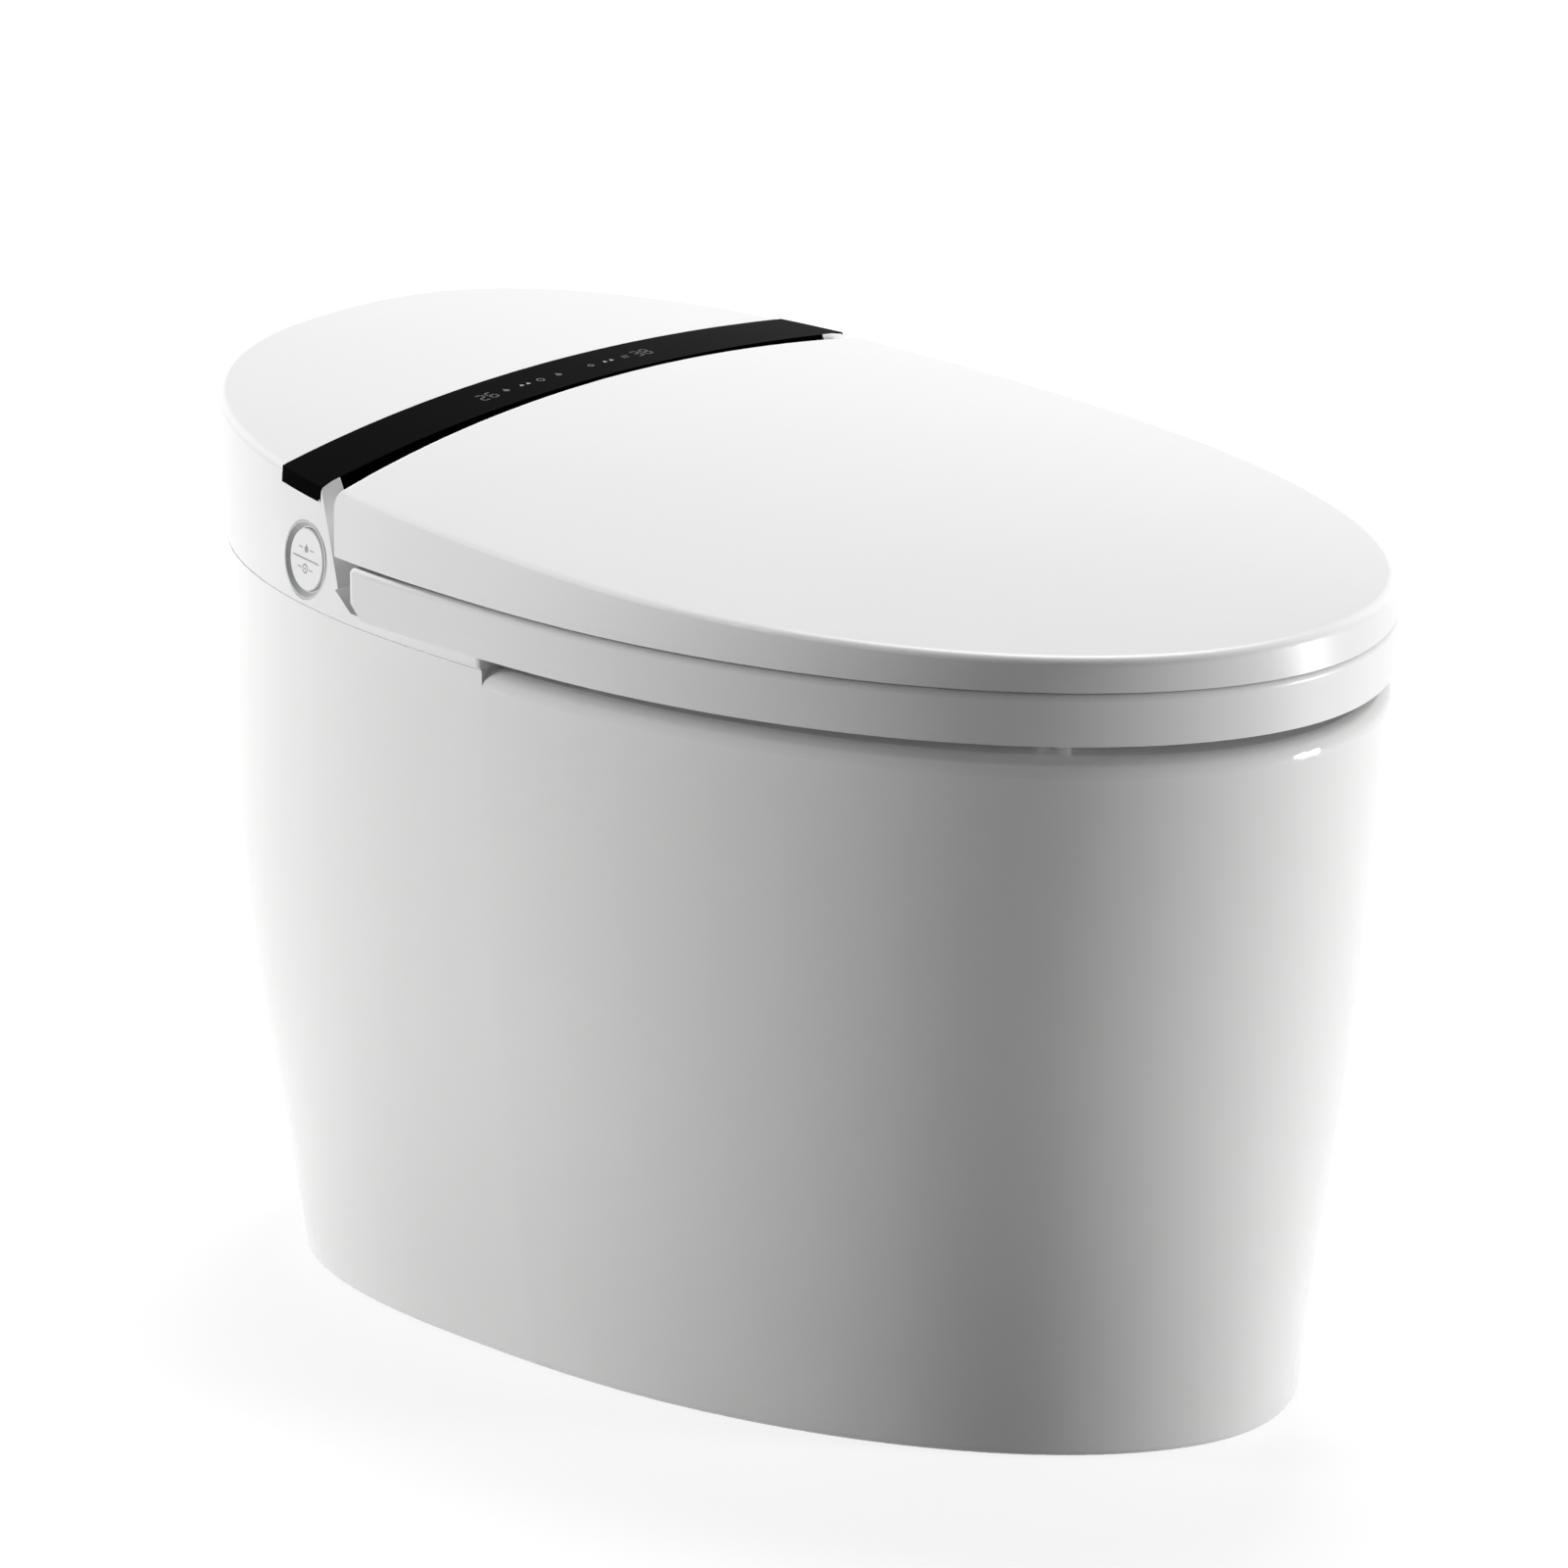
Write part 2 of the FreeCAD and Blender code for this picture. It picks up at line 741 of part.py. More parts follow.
def make_outlet_seal():
    """A rubber ring that the body's outlet presses on the floor flange."""
    body = turned(
        "outlet_seal",
        ("trap_bore + 3", "flange_thickness"), ("flange_bore + 12", "flange_thickness"),
        ("flange_bore + 12", "outlet_height - 6"), ("trap_bore + trap_wall + 3", "outlet_height"),
        ("trap_bore + 3", "outlet_height"))
    place(body, y=OUTLET_FORMULA)


def make_outlet_flange():
    """The ring on the floor that carries the seal, with a ring of bolt holes."""
    body = new_body("outlet_flange")
    sketch = new_sketch(body, "flange_plan")
    draw_circle(sketch, "flange_radius")
    draw_circle(sketch, "flange_bore")
    pad(body, sketch, "flange_thickness", "flange_ring")
    document.recompute()
    holes = new_sketch(body, "flange_hole_plan")
    draw_circle(holes, "flange_bolt_hole", "flange_bolt_circle")
    hole = pocket(body, holes, "flange_thickness + 2", "flange_hole", reverse=True)
    repeat(body, hole, holes, 4, "flange_holes")
    place(body, y=OUTLET_FORMULA)


make_outlet_seal()
make_outlet_flange()


# ------------------------------------------------------------------ rear housing with its display strip

def strip_region(gap, depth):
    """The part of the housing's outer form that the display strip fills, drawn in by a gap."""
    band = behind(STRIP_FRONT + gap - 0.1, LID_REAR_CURVE, size.hinge_height - 20, SKY)
    band = band.cut(behind(STRIP_BACK - gap, size.strip_curve, size.hinge_height - 21, SKY + 1))
    return housing_block(0).common(band).cut(housing_crown(depth))


def cheek_line(height, gap=0.0):
    """Where the housing's side cheeks end towards the front, at a height."""
    return size.cheek_place + gap - size.cheek_slant * (size.crest_height - height)


def make_housing_shell():
    """A thin shell over the machinery, with cheeks beside the lid and wings under the seat."""
    outer = housing_block(0)
    outer = outer.makeFillet(size.crest_round, edges_of_top(outer))
    floor = size.rim_height
    inner = housing_block(size.housing_wall)
    back = outer.common(behind(STRIP_FRONT, LID_REAR_CURVE, floor - 1, SKY))
    room = inner.common(behind(STRIP_FRONT + size.housing_wall, LID_REAR_CURVE, floor - 1, SKY))
    tray_depth = size.strip_thickness + 2
    tray = behind(STRIP_FRONT, LID_REAR_CURVE, size.hinge_height - 25, SKY)
    tray = tray.cut(behind(STRIP_BACK + size.housing_wall, size.strip_curve, 0, SKY + 1))
    room = room.cut(tray.cut(housing_crown(tray_depth)))
    shell = back.cut(room).fuse(make_cheeks(outer)).fuse(make_wings())
    shell = shell.cut(strip_region(0, size.strip_thickness))
    button_hole = disc(size.button_ring_radius, -30, 10)
    button_hole.Placement = BUTTON_FRAME
    shell = shell.cut(button_hole).cut(hood_channel(size.fit_gap)).cut(chassis_blank(size.fit_gap))
    return shell.cut(foot_seam())


def foot_seam():
    """The narrow shadow line where the housing and its wings stand on the glazed body."""
    outline = body_outline(size.rim_height)
    low, high = size.rim_height - 1, size.rim_height + size.seam_height
    return outline.inset(-1).prism(low, high).cut(outline.inset(size.seam_depth).prism(low - 1, high + 1))


def chassis_blank(gap):
    """The chassis plate's outline on the deck, grown by a gap."""
    outline = body_outline(size.rim_height).inset(size.housing_wall + 1 - gap)
    blank = outline.prism(size.rim_height - gap, size.rim_height + size.chassis_thickness + gap)
    return blank.cut(box_between(Vector(-FAR, -FAR, 0), Vector(FAR, size.chassis_front - gap, FAR)))


def wall_frame():
    """The button's own frame: on the housing's left wall, +X along the wall's normal and +Y level."""
    y, z = size.button_place, size.button_height
    here = housing_outline(z).half_width_at(y)
    lean_y = housing_outline(z).half_width_at(y + 1) - here
    lean_z = housing_outline(z + 1).half_width_at(y) - here
    outward = Vector(-1, -lean_y, -lean_z).normalize()
    level = Rotation(outward, Vector(), Vector(0, 0, 1), "XZY")
    return Placement(Vector(-here, y, z), level)


def disc(radius, low, high):
    """A round slice along the button's axis."""
    return Part.makeCylinder(radius, high - low, Vector(low, 0, 0), X_AXIS)


BUTTON_FRAME = wall_frame()


def make_cheeks(outer):
    """The side walls in front of the housing, each with a return that closes the view inwards."""
    floor = size.rim_height
    corners = [(cheek_line(floor), floor), (cheek_line(SKY), SKY), (STRIP_FRONT + 1, SKY),
               (STRIP_FRONT + 1, floor)]
    thin = size.housing_wall
    slab = [(cheek_line(floor), floor), (cheek_line(SKY), SKY), (cheek_line(SKY, thin), SKY),
            (cheek_line(floor, thin), floor)]
    lined = loft([(housing_outline(z).inset(thin), z) for z in (floor, SKY)], ruled=True)
    cheeks = outer.common(side_prism(corners, -FAR, FAR)).cut(lined)
    slabs = outer.common(side_prism(slab, -FAR, FAR))
    inner = size.shoulder_half_width - size.cheek_width
    slabs = slabs.cut(box_between(Vector(-inner, 0, 0), Vector(inner, FAR, FAR)))
    behind_wall = behind(STRIP_FRONT + 1, LID_REAR_CURVE, 0, SKY + 1)
    return cheeks.fuse(slabs).cut(behind_wall)


def make_wings():
    """The tongues that run forward between the seat and the rim, with a corner fill at their roots."""
    floor = size.rim_height
    root = cheek_line(floor + size.wing_thickness) + 3
    rim = body_outline(floor)
    ring = rim.prism(floor, floor + size.wing_thickness)
    ring = ring.cut(rim.inset(size.wing_width).prism(floor - 1, SKY))
    wings = ring.common(box_between(Vector(-FAR, size.wing_front, 0), Vector(FAR, root, FAR)))
    ends = [edge for edge in wings.Edges
            if abs(edge.BoundBox.YMax - size.wing_front) < 0.1 and edge.BoundBox.ZLength > 1
            and abs(edge.CenterOfMass.x) > size.shoulder_half_width - 8]
    wings = wings.makeFillet(4, ends)
    top = floor + size.wing_thickness
    corner = size.seat_corner - 1
    fill = [(cheek_line(top) - corner, top - 1), (cheek_line(top) - corner, top),
            (cheek_line(top + corner), top + corner), (cheek_line(top) + 3, top - 1)]
    fills = side_prism(fill, -FAR, FAR).common(rim.prism(floor, SKY))
    inner = size.shoulder_half_width - size.wing_width
    fills = fills.cut(box_between(Vector(-inner, 0, 0), Vector(inner, FAR, FAR)))
    return wings.fuse(fills)


def make_display_panel():
    """The dark strip across the housing, let in flush with its top, hollow below for the display."""
    strip = strip_region(size.fit_gap, size.strip_thickness)
    half_width, half_depth = size.display_half_width, size.display_depth / 2
    low = Vector(-half_width, DISPLAY_PLACE - half_depth, DISPLAY_HEIGHT - 10)
    high = Vector(half_width, DISPLAY_PLACE + half_depth, DISPLAY_HEIGHT + 4)
    return strip.cut(box_between(low, high))


DISPLAY_PLACE = (STRIP_FRONT + STRIP_BACK) / 2
DISPLAY_REAR = DISPLAY_PLACE + size.display_depth / 2
DISPLAY_HEIGHT = size.housing_top + size.housing_slope * DISPLAY_REAR - size.strip_thickness + 0.1


def make_display_board():
    """The circuit board with the display's digits, in the hollow under the strip."""
    board = block("display_board", "2 * display_half_width - 2", "display_depth - 1", "1.6",
                  y=str(DISPLAY_PLACE), z=str(DISPLAY_HEIGHT))
    keep(board, "display_board")


shaped("housing_shell", make_housing_shell())
shaped("display_panel", make_display_panel())
make_display_board()


# ------------------------------------------------------------------ seat

def seat_region(gap, low, high):
    """The seat's outer form between two heights, drawn in by a gap, less the notch for the hinge bay."""
    ring = SEAT.inset(gap).prism(low, high)
    notch_side, notch_front = size.seat_notch_half_width + gap, size.seat_notch_place - gap
    ring = ring.cut(box_between(Vector(-FAR, size.seat_back - gap, 0), Vector(FAR, FAR, FAR)))
    return ring.cut(box_between(Vector(-notch_side, notch_front, 0), Vector(notch_side, FAR, FAR)))


def make_seat_outer():
    """The seat as one block, with its rounded edges and the slanted lower corner at the rear."""
    low, high = size.seat_bottom, size.seat_top
    block_shape = seat_region(0, low, high)
    uprights = [edge for edge in block_shape.Edges
                if edge.BoundBox.ZLength > 20 and edge.BoundBox.YMin > size.seat_notch_place - 1]
    block_shape = block_shape.makeFillet(4, uprights)
    hole = loft([(SEAT_HOLE, low - 1), (SEAT_HOLE, high - 8), (SEAT_HOLE.inset(-3), high - 3),
                 (SEAT_HOLE.inset(-9), high + 1)], ruled=True)
    block_shape = block_shape.cut(hole)
    corner = size.seat_corner
    back = size.seat_back
    wedge = side_prism([(back - corner, low - 1), (back + 1, low - 1), (back + 1, low + corner),
                        (back, low + corner), (back - corner, low)], -FAR, FAR)
    block_shape = block_shape.cut(wedge)
    top = [edge for edge in block_shape.Edges if edge.BoundBox.ZMin > high - 0.1]
    return block_shape.makeFillet(size.seat_round, outermost(top))


def outermost(edges):
    """The edges that aren't around the seat's hole."""
    limit = size.seat_hole_half_width + 12
    return [edge for edge in edges
            if edge.BoundBox.XLength > 2.2 * limit or abs(edge.CenterOfMass.x) > limit
            or edge.CenterOfMass.y > size.seat_hole_rear + 15]


def make_seat_top_shell():
    """The seat's moulded top with its outer and inner skirts, open below, slotted for the hinge arms."""
    wall, low = size.seat_wall, size.seat_bottom
    cavity = seat_region(wall, low - 1, size.seat_top - wall)
    cavity = cavity.cut(SEAT_HOLE.inset(-wall - 9).prism(0, SKY))
    shell = make_seat_outer().cut(cavity)
    for side in (-1, 1):
        shell = shell.cut(arm_block(side, size.fit_gap))
    return shell


def arm_block(side, gap):
    """A hinge arm from the seat's base up to its eye on the hinge line."""
    inner = ARM_INNER - gap
    outer = ARM_INNER + size.ear_thickness + gap
    low = size.seat_bottom + 1 - gap
    y_eye, z_eye, reach = size.hinge_place, size.hinge_height, size.hinge_eye_radius + gap
    foot = size.seat_back - size.seat_corner - 4
    corners = [(foot - 26, low), (foot + gap, low), (y_eye + reach * 0.8, z_eye - reach * 0.6),
               (y_eye - reach * 0.9, z_eye + reach * 0.44)]
    ends = sorted((side * inner, side * outer))
    arm = side_prism(corners, *ends)
    eye = Part.makeCylinder(reach, ends[1] - ends[0], Vector(ends[0], y_eye, z_eye), X_AXIS)
    return arm.fuse(eye)


ARM_INNER = size.hinge_plate_place + size.hinge_plate + 2 * size.ear_gap + size.ear_thickness
EAR_INNER = size.hinge_plate_place + size.hinge_plate + size.ear_gap


def hinge_bore(radius):
    """A round hole along the hinge line, past both arms of the seat."""
    reach = ARM_INNER + size.ear_thickness + 3
    start = Vector(-reach, size.hinge_place, size.hinge_height)
    return Part.makeCylinder(radius, 2 * reach, start, X_AXIS)


def make_seat_base():
    """The plate that closes the seat below, with the two hinge arms."""
    gap = size.seat_wall + size.fit_gap
    low = size.seat_bottom + 1
    plate = seat_region(gap, low, low + size.seat_base_thickness)
    plate = plate.cut(SEAT_HOLE.inset(-gap - 9).prism(0, SKY))
    corner = size.seat_corner + gap
    back = size.seat_back
    plate = plate.cut(side_prism([(back - corner, low - 1), (back, low - 1), (back, low + 12)],
                                 -FAR, FAR))
    for side in (-1, 1):
        plate = plate.fuse(arm_block(side, 0))
    idle = hinge_bore(size.hinge_shaft_radius + size.running_gap)
    keyed = hinge_bore(size.hinge_shaft_radius)
    left = box_between(Vector(-FAR, -FAR, 0), Vector(0, FAR, FAR))
    return plate.cut(idle.common(left)).cut(keyed.cut(left))


def make_seat_heater():
    """The warming film under the seat's top face."""
    gap = size.seat_wall + 8
    high = size.seat_top - size.seat_wall
    film = seat_region(gap, high - size.heater_thickness, high)
    film = film.cut(SEAT_HOLE.inset(-gap - 12).prism(0, SKY))
    return film.cut([arm_block(side, 2) for side in (-1, 1)])


def make_feet(low, high, radius, spots):
    """Round rubber feet between two heights."""
    return Part.makeCompound([Part.makeCylinder(radius, high - low, Vector(x, y, low))
                              for x, y in spots])


# ------------------------------------------------------------------ lid

def lid_sides(gap):
    """The solid between the lid's sides, drawn in by a gap, from its lower edge to above its top."""
    share = (SKY - size.lid_bottom) / (size.lid_crest_height - size.lid_bottom)
    high = LID_EDGE.towards(LID_CREST, share)
    return loft([(LID_EDGE.inset(gap), size.lid_bottom), (high.inset(gap), SKY)], ruled=True)


def lid_block(gap):
    """The lid's outer form, drawn in by a gap at the sides, the top and the rear."""
    return lid_sides(gap).common(lid_crown(gap)).cut(behind_lid(gap))


def behind_lid(gap):
    """Everything behind the slanted plane where the lid ends, moved forward by a gap."""
    edge_height = lid_height(size.lid_rear)
    slant = size.lid_rear_slant
    low_y = size.lid_rear - slant * edge_height - gap
    high_y = size.lid_rear + slant * (SKY - edge_height) - gap
    return side_prism([(low_y, 0), (high_y, SKY), (FAR, SKY), (FAR, 0)], -FAR, FAR)


def make_lid_outer():
    """The lid as one block with a soft edge around its top."""
    shape = lid_block(0)
    return shape.makeFillet(size.lid_round, edges_of_top(shape))


def make_lid_shell():
    """The lid's top with its skirt, open below, a lip at the rear and two ears for the hinge."""
    outer = make_lid_outer()
    wall = size.lid_wall
    room = lid_sides(wall).common(lid_crown(wall)).cut(behind_lid(size.lid_lip))
    below = LID_EDGE.inset(wall).prism(size.lid_bottom - 2, size.lid_bottom).cut(behind_lid(size.lid_lip))
    mouth = size.lid_mouth_half_width
    lip_low = lid_height(size.lid_rear) - size.lid_lip_depth
    mouth_room = box_between(Vector(-mouth, size.lid_panel_rear, size.lid_bottom - 2),
                             Vector(mouth, FAR, lip_low))
    shell = outer.cut(room).cut(below).cut(mouth_room)
    for side in (-1, 1):
        shell = shell.fuse(make_lid_ear(side).common(outer))
    idle = hinge_bore(size.hinge_shaft_radius + size.running_gap)
    keyed = hinge_bore(size.hinge_shaft_radius)
    left = box_between(Vector(-FAR, -FAR, 0), Vector(0, FAR, FAR))
    return shell.cut(keyed.common(left)).cut(idle.cut(left))


def make_lid_ear(side):
    """A lug under the lid's top around the hinge line."""
    ends = sorted((side * EAR_INNER, side * (EAR_INNER + size.ear_thickness)))
    y_eye, z_eye, reach = size.hinge_place, size.hinge_height, size.hinge_eye_radius
    lug = side_prism([(y_eye - reach, z_eye), (y_eye - reach - 8, SKY), (y_eye + reach + 4, SKY),
                      (y_eye + reach, z_eye)], *ends)
    eye = Part.makeCylinder(reach, size.ear_thickness, Vector(ends[0], y_eye, z_eye), X_AXIS)
    return lug.fuse(eye)


def make_lid_panel():
    """The flat inner face that closes the lid below."""
    low = size.lid_panel_height
    slab = box_between(Vector(-FAR, -FAR, low),
                       Vector(FAR, size.lid_panel_rear, low + size.lid_panel_thickness))
    return lid_sides(size.lid_wall + size.fit_gap).common(slab)


shaped("seat_top_shell", make_seat_top_shell())
shaped("seat_base", make_seat_base())
shaped("seat_heater", make_seat_heater())
shaped("seat_bumpers", make_feet(size.rim_height, size.seat_bottom + 1, 8,
                                 both_sides((168, -20), (100, -255))))
shaped("lid_shell", make_lid_shell())
shaped("lid_panel", make_lid_panel())
shaped("lid_bumpers", make_feet(size.seat_top, size.lid_panel_height, 6,
                                both_sides((160, -60), (85, -262))))


# ------------------------------------------------------------------ hinge bay

def make_hinge_bracket(name, side):
    """A steel post beside the drive unit, with a bearing for the shaft and a screwed foot."""
    inner = size.hinge_plate_place
    ends = sorted((side * inner, side * (inner + size.hinge_plate)))
    floor = size.rim_height
    y_eye, z_eye, reach = size.hinge_place, size.hinge_height, size.hinge_eye_radius + 1.5
    post = side_prism([(y_eye - 26, floor), (y_eye - 5, floor), (y_eye - 3, z_eye - reach),
                       (y_eye + reach * 0.9, z_eye - reach * 0.44), (y_eye - reach, z_eye)], *ends)
    eye = Part.makeCylinder(reach, size.hinge_plate, Vector(ends[0], y_eye, z_eye), X_AXIS)
    foot_ends = sorted((side * (inner - 16), side * (inner + size.hinge_plate)))
    foot = box_between(Vector(foot_ends[0], y_eye - 26, floor),
                       Vector(foot_ends[1], y_eye - 5, floor + size.chassis_thickness))
    bearing = hinge_bore(size.hinge_shaft_radius + size.running_gap)
    hole = Part.makeCylinder(size.screw_radius + size.fit_gap, 20,
                             Vector(side * (inner - 8), y_eye - 13, floor - 1))
    shaped(name, post.fuse([eye, foot]).cut([bearing, hole]))


def make_hinge_cover():
    """A white cover in front of the drive units, on the feet of both brackets."""
    front, top = size.hinge_place - 21, size.hinge_height + 9.5
    side, floor = size.hinge_plate_place - 1, size.rim_height
    skin = [(front, floor), (front, top - 10), (front + 8, top), (front + 13, top), (front + 13, top - 2.4),
            (front + 9, top - 2.4), (front + 2.4, top - 11), (front + 2.4, floor)]
    cover = side_prism(skin, -side, side)
    for end in (-1, 1):
        ends = sorted((end * (size.hinge_plate_place - 16.5), end * FAR))
        cover = cover.cut(box_between(Vector(ends[0], 0, 0),
                                      Vector(ends[1], FAR, floor + size.chassis_thickness)))
    shaped("hinge_cover", cover.cut(hood_channel(size.fit_gap)))


def make_screws(name, spots, seat):
    """Screws into the deck, with their heads on a face at some height."""
    screws = []
    for x, y in spots:
        low = Vector(x, y, size.rim_height - size.screw_depth)
        shank = Part.makeCylinder(size.screw_radius, seat - low.z + 1, low)
        head = Part.makeCylinder(size.screw_head_radius, 2.4, Vector(x, y, seat))
        head = head.makeFillet(0.8, [edge for edge in head.Edges if edge.BoundBox.ZMin > seat + 2])
        drive = box_between(Vector(x - 2.5, y - 0.4, seat + 1.4), Vector(x + 2.5, y + 0.4, seat + 3))
        screws.append(shank.fuse(head).cut(drive))
    shaped(name, Part.makeCompound(screws))


def make_hinge_shaft(name, side):
    """A steel shaft from a drive unit through the bracket, the lid's ear and the seat's arm."""
    length = "hinge_plate_place / 4 + hinge_plate + 2 * ear_gap + 2 * ear_thickness"
    start = "hinge_plate_place * 3 / 4" if side > 0 else f"-(hinge_plate_place * 3 / 4 + {length})"
    keep(rod(name, "hinge_shaft_radius", length, start, "hinge_place", "hinge_height", LIE_ALONG_X), name)


def make_drive_unit(name, side):
    """A sealed geared drive with a soft-close damper, on the hinge line beside its bracket."""
    start = "hinge_plate_place - drive_length" if side > 0 else "-hinge_plate_place"
    unit = rod(name + "_case", "drive_radius", "drive_length", start, "hinge_place", "hinge_height",
               LIE_ALONG_X)
    seat = "hinge_plate_place * 3 / 4" if side > 0 else "-hinge_plate_place"
    bore = rod(name + "_bore", "hinge_shaft_radius + running_gap", "hinge_plate_place / 4", seat,
               "hinge_place", "hinge_height", LIE_ALONG_X)
    keep(cut(name + "_bored", unit, bore), name)


for bracket_name, bracket_side in (("hinge_bracket_left", -1), ("hinge_bracket_right", 1)):
    make_hinge_bracket(bracket_name, bracket_side)
make_hinge_shaft("lid_hinge_shaft", -1)
make_hinge_shaft("seat_hinge_shaft", 1)
make_drive_unit("lid_drive_unit", -1)
make_drive_unit("seat_drive_unit", 1)
make_hinge_cover()
make_screws("hinge_screws", HINGE_SCREWS, size.rim_height + size.chassis_thickness)


# ------------------------------------------------------------------ flush button

RING_BORE = size.button_cap_radius + 0.3
BUTTON_SINK = 3.0
SWITCH_TOP = -9.0


def cone(low_radius, high_radius, low, high):
    """A tapered slice along the button's axis."""
    return Part.makeCone(low_radius, high_radius, high - low, Vector(low, 0, 0), X_AXIS)


def make_button_ring():
    """The recessed ring around the button, with a collar that guides the cap."""
    ring = disc(size.button_ring_radius - size.fit_gap, SWITCH_TOP, -0.4)
    ring = ring.cut(disc(RING_BORE, SWITCH_TOP - 1, 1))
    dish = cone(RING_BORE + 0.6, size.button_ring_radius - 1.0, -BUTTON_SINK, 0)
    shaped("button_ring", ring.cut(dish), BUTTON_FRAME)


def make_button_cap():
    """The round cap with a shallow line across it and a guided stem."""
    cap = disc(size.button_cap_radius, -5, -1.2).fuse(disc(4, -14, -5))
    edge = [item for item in cap.Edges if abs(item.BoundBox.XMin + 1.2) < 0.01]
    cap = cap.makeFillet(0.8, edge)
    line = box_between(Vector(-1.5, -size.button_cap_radius * 0.8, -0.25),
                       Vector(0, size.button_cap_radius * 0.8, 0.25))
    shaped("button_cap", cap.cut(line), BUTTON_FRAME)


def make_button_boot():
    """The rubber boot around the stem that returns the cap."""
    boot = disc(7, SWITCH_TOP, -5).cut(disc(4, SWITCH_TOP - 1, 0))
    shaped("button_boot", boot, BUTTON_FRAME)


def make_button_switch():
    """The switch behind the ring, with a well for the boot and a bore for the stem."""
    low = SWITCH_TOP - 14
    switch = disc(size.button_ring_radius - 2, low, SWITCH_TOP)
    well = disc(8, SWITCH_TOP - size.button_travel - 0.5, SWITCH_TOP + 1)
    bore = disc(4 + size.running_gap, low + 4, SWITCH_TOP)
    shaped("button_switch", switch.cut(well).cut(bore), BUTTON_FRAME)


make_button_ring()
make_button_cap()
make_button_boot()
make_button_switch()


# ------------------------------------------------------------------ wash nozzles and drying duct

def sloped(name, shape):
    """A sub-part made in the nozzles' sloped frame, whose -Y runs down into the bowl."""
    return shaped(name, shape, NOZZLE_PLACEMENT)


def wand_side(number):
    """A wand's distance from the middle."""
    return size.wand_centre + (number - 0.5) * size.wand_spacing


def along_slope(radius, side, start, end):
    """A round slice along the slope."""
    return Part.makeCylinder(radius, end - start, Vector(side, start, 0), Y_AXIS)


def make_wand(name, number):
    """A steel wand tube and the moulded tip with its spray holes."""
    side, radius = wand_side(number), size.wand_radius
    tube_shape = along_slope(radius, side, WAND_START, WAND_START + size.wand_length)
    sloped(name, tube_shape.cut(along_slope(radius - 1, side, WAND_START + 1, FAR)))
    tip = along_slope(radius, side, WAND_START - TIP_LENGTH, WAND_START)
    nose = [edge for edge in tip.Edges if edge.BoundBox.YMax < WAND_START - TIP_LENGTH + 1]
    tip = tip.makeFillet(radius * 0.6, nose)
    for step in range(3 - number):
        spot = Vector(side, WAND_START - 4 - 3.5 * step, 0)
        tip = tip.cut(Part.makeCylinder(0.8, radius + 1, spot))
    sloped(name + "_tip", tip)


def make_nozzle_cradle():
    """The guide block that both wands slide in."""
    side, half = size.wand_centre, size.cradle_width / 2
    low = Vector(side - half, size.cradle_start, -size.cradle_height / 2)
    high = Vector(side + half, size.wand_length, size.cradle_height / 2)
    cradle = box_between(low, high)
    for number in (0, 1):
        bore = along_slope(size.wand_radius + size.running_gap, wand_side(number), 0, FAR)
        cradle = cradle.cut(bore)
    sloped("nozzle_cradle", cradle)


def make_nozzle_motor():
    """The stepper that drives the wands, on top of the cradle's upper end."""
    low = size.cradle_height / 2
    base = Vector(size.wand_centre, size.wand_length - 18, low)
    motor = Part.makeCylinder(14, 14, base)
    lugs = box_between(base + Vector(-21, -4, 0), base + Vector(21, 4, 2))
    sloped("nozzle_motor", motor.fuse(lugs))


def make_nozzle_hood():
    """The white hood over the wands and the duct, which closes the way through the deck."""
    wall, top, start = size.hood_wall, HOOD_HALF_HEIGHT, 2
    outer = box_between(Vector(HOOD_LEFT, start, -top), Vector(HOOD_RIGHT, HOOD_LENGTH, top))
    inner = box_between(Vector(HOOD_LEFT + wall, start + wall, -top + wall),
                        Vector(HOOD_RIGHT - wall, HOOD_LENGTH + 1, top - wall))
    hood = outer.cut(inner)
    for number in (0, 1):
        hood = hood.cut(along_slope(size.wand_radius + 0.5, wand_side(number), -FAR, FAR))
    hood = hood.cut(duct_box(size.duct_wall - 0.5, -FAR, 20)).fuse(flap_ears())
    sloped("nozzle_hood", hood.cut(flap_pin(FLAP_PIN_RADIUS + size.running_gap, size.duct_width)))


def duct_box(wall, start, end):
    """A straight length of the drying duct's section, drawn in by a wall."""
    half_width, half_height = size.duct_width / 2 - wall, size.cradle_height / 2 - wall
    return box_between(Vector(size.duct_centre - half_width, start, -half_height),
                       Vector(size.duct_centre + half_width, end, half_height))


def make_dryer_duct():
    """The duct that carries warm air down to the bowl."""
    start = 2 + size.hood_wall + size.fit_gap + FLAP_ROOM
    duct = duct_box(0, start, size.duct_length)
    sloped("dryer_duct", duct.cut(duct_box(size.duct_wall, 0, FAR)))


def flap_pin(radius, reach):
    """The round pin that the flap hangs on, to a distance each side of its middle."""
    start = Vector(size.duct_centre - reach, FLAP_PLACE, FLAP_PIN_HEIGHT)
    return Part.makeCylinder(radius, 2 * reach, start, X_AXIS)


def flap_ears():
    """The two ears on the hood's front that hold the flap's pin."""
    ears, inner = [], FLAP_HALF_WIDTH + 0.4
    for side in (-1, 1):
        ends = sorted((side * inner, side * (inner + 3)))
        ears.append(box_between(
            Vector(size.duct_centre + ends[0], FLAP_PLACE - 2.8, FLAP_PIN_HEIGHT - 2.8),
            Vector(size.duct_centre + ends[1], 2.5, FLAP_PIN_HEIGHT + 2.8)))
    return ears


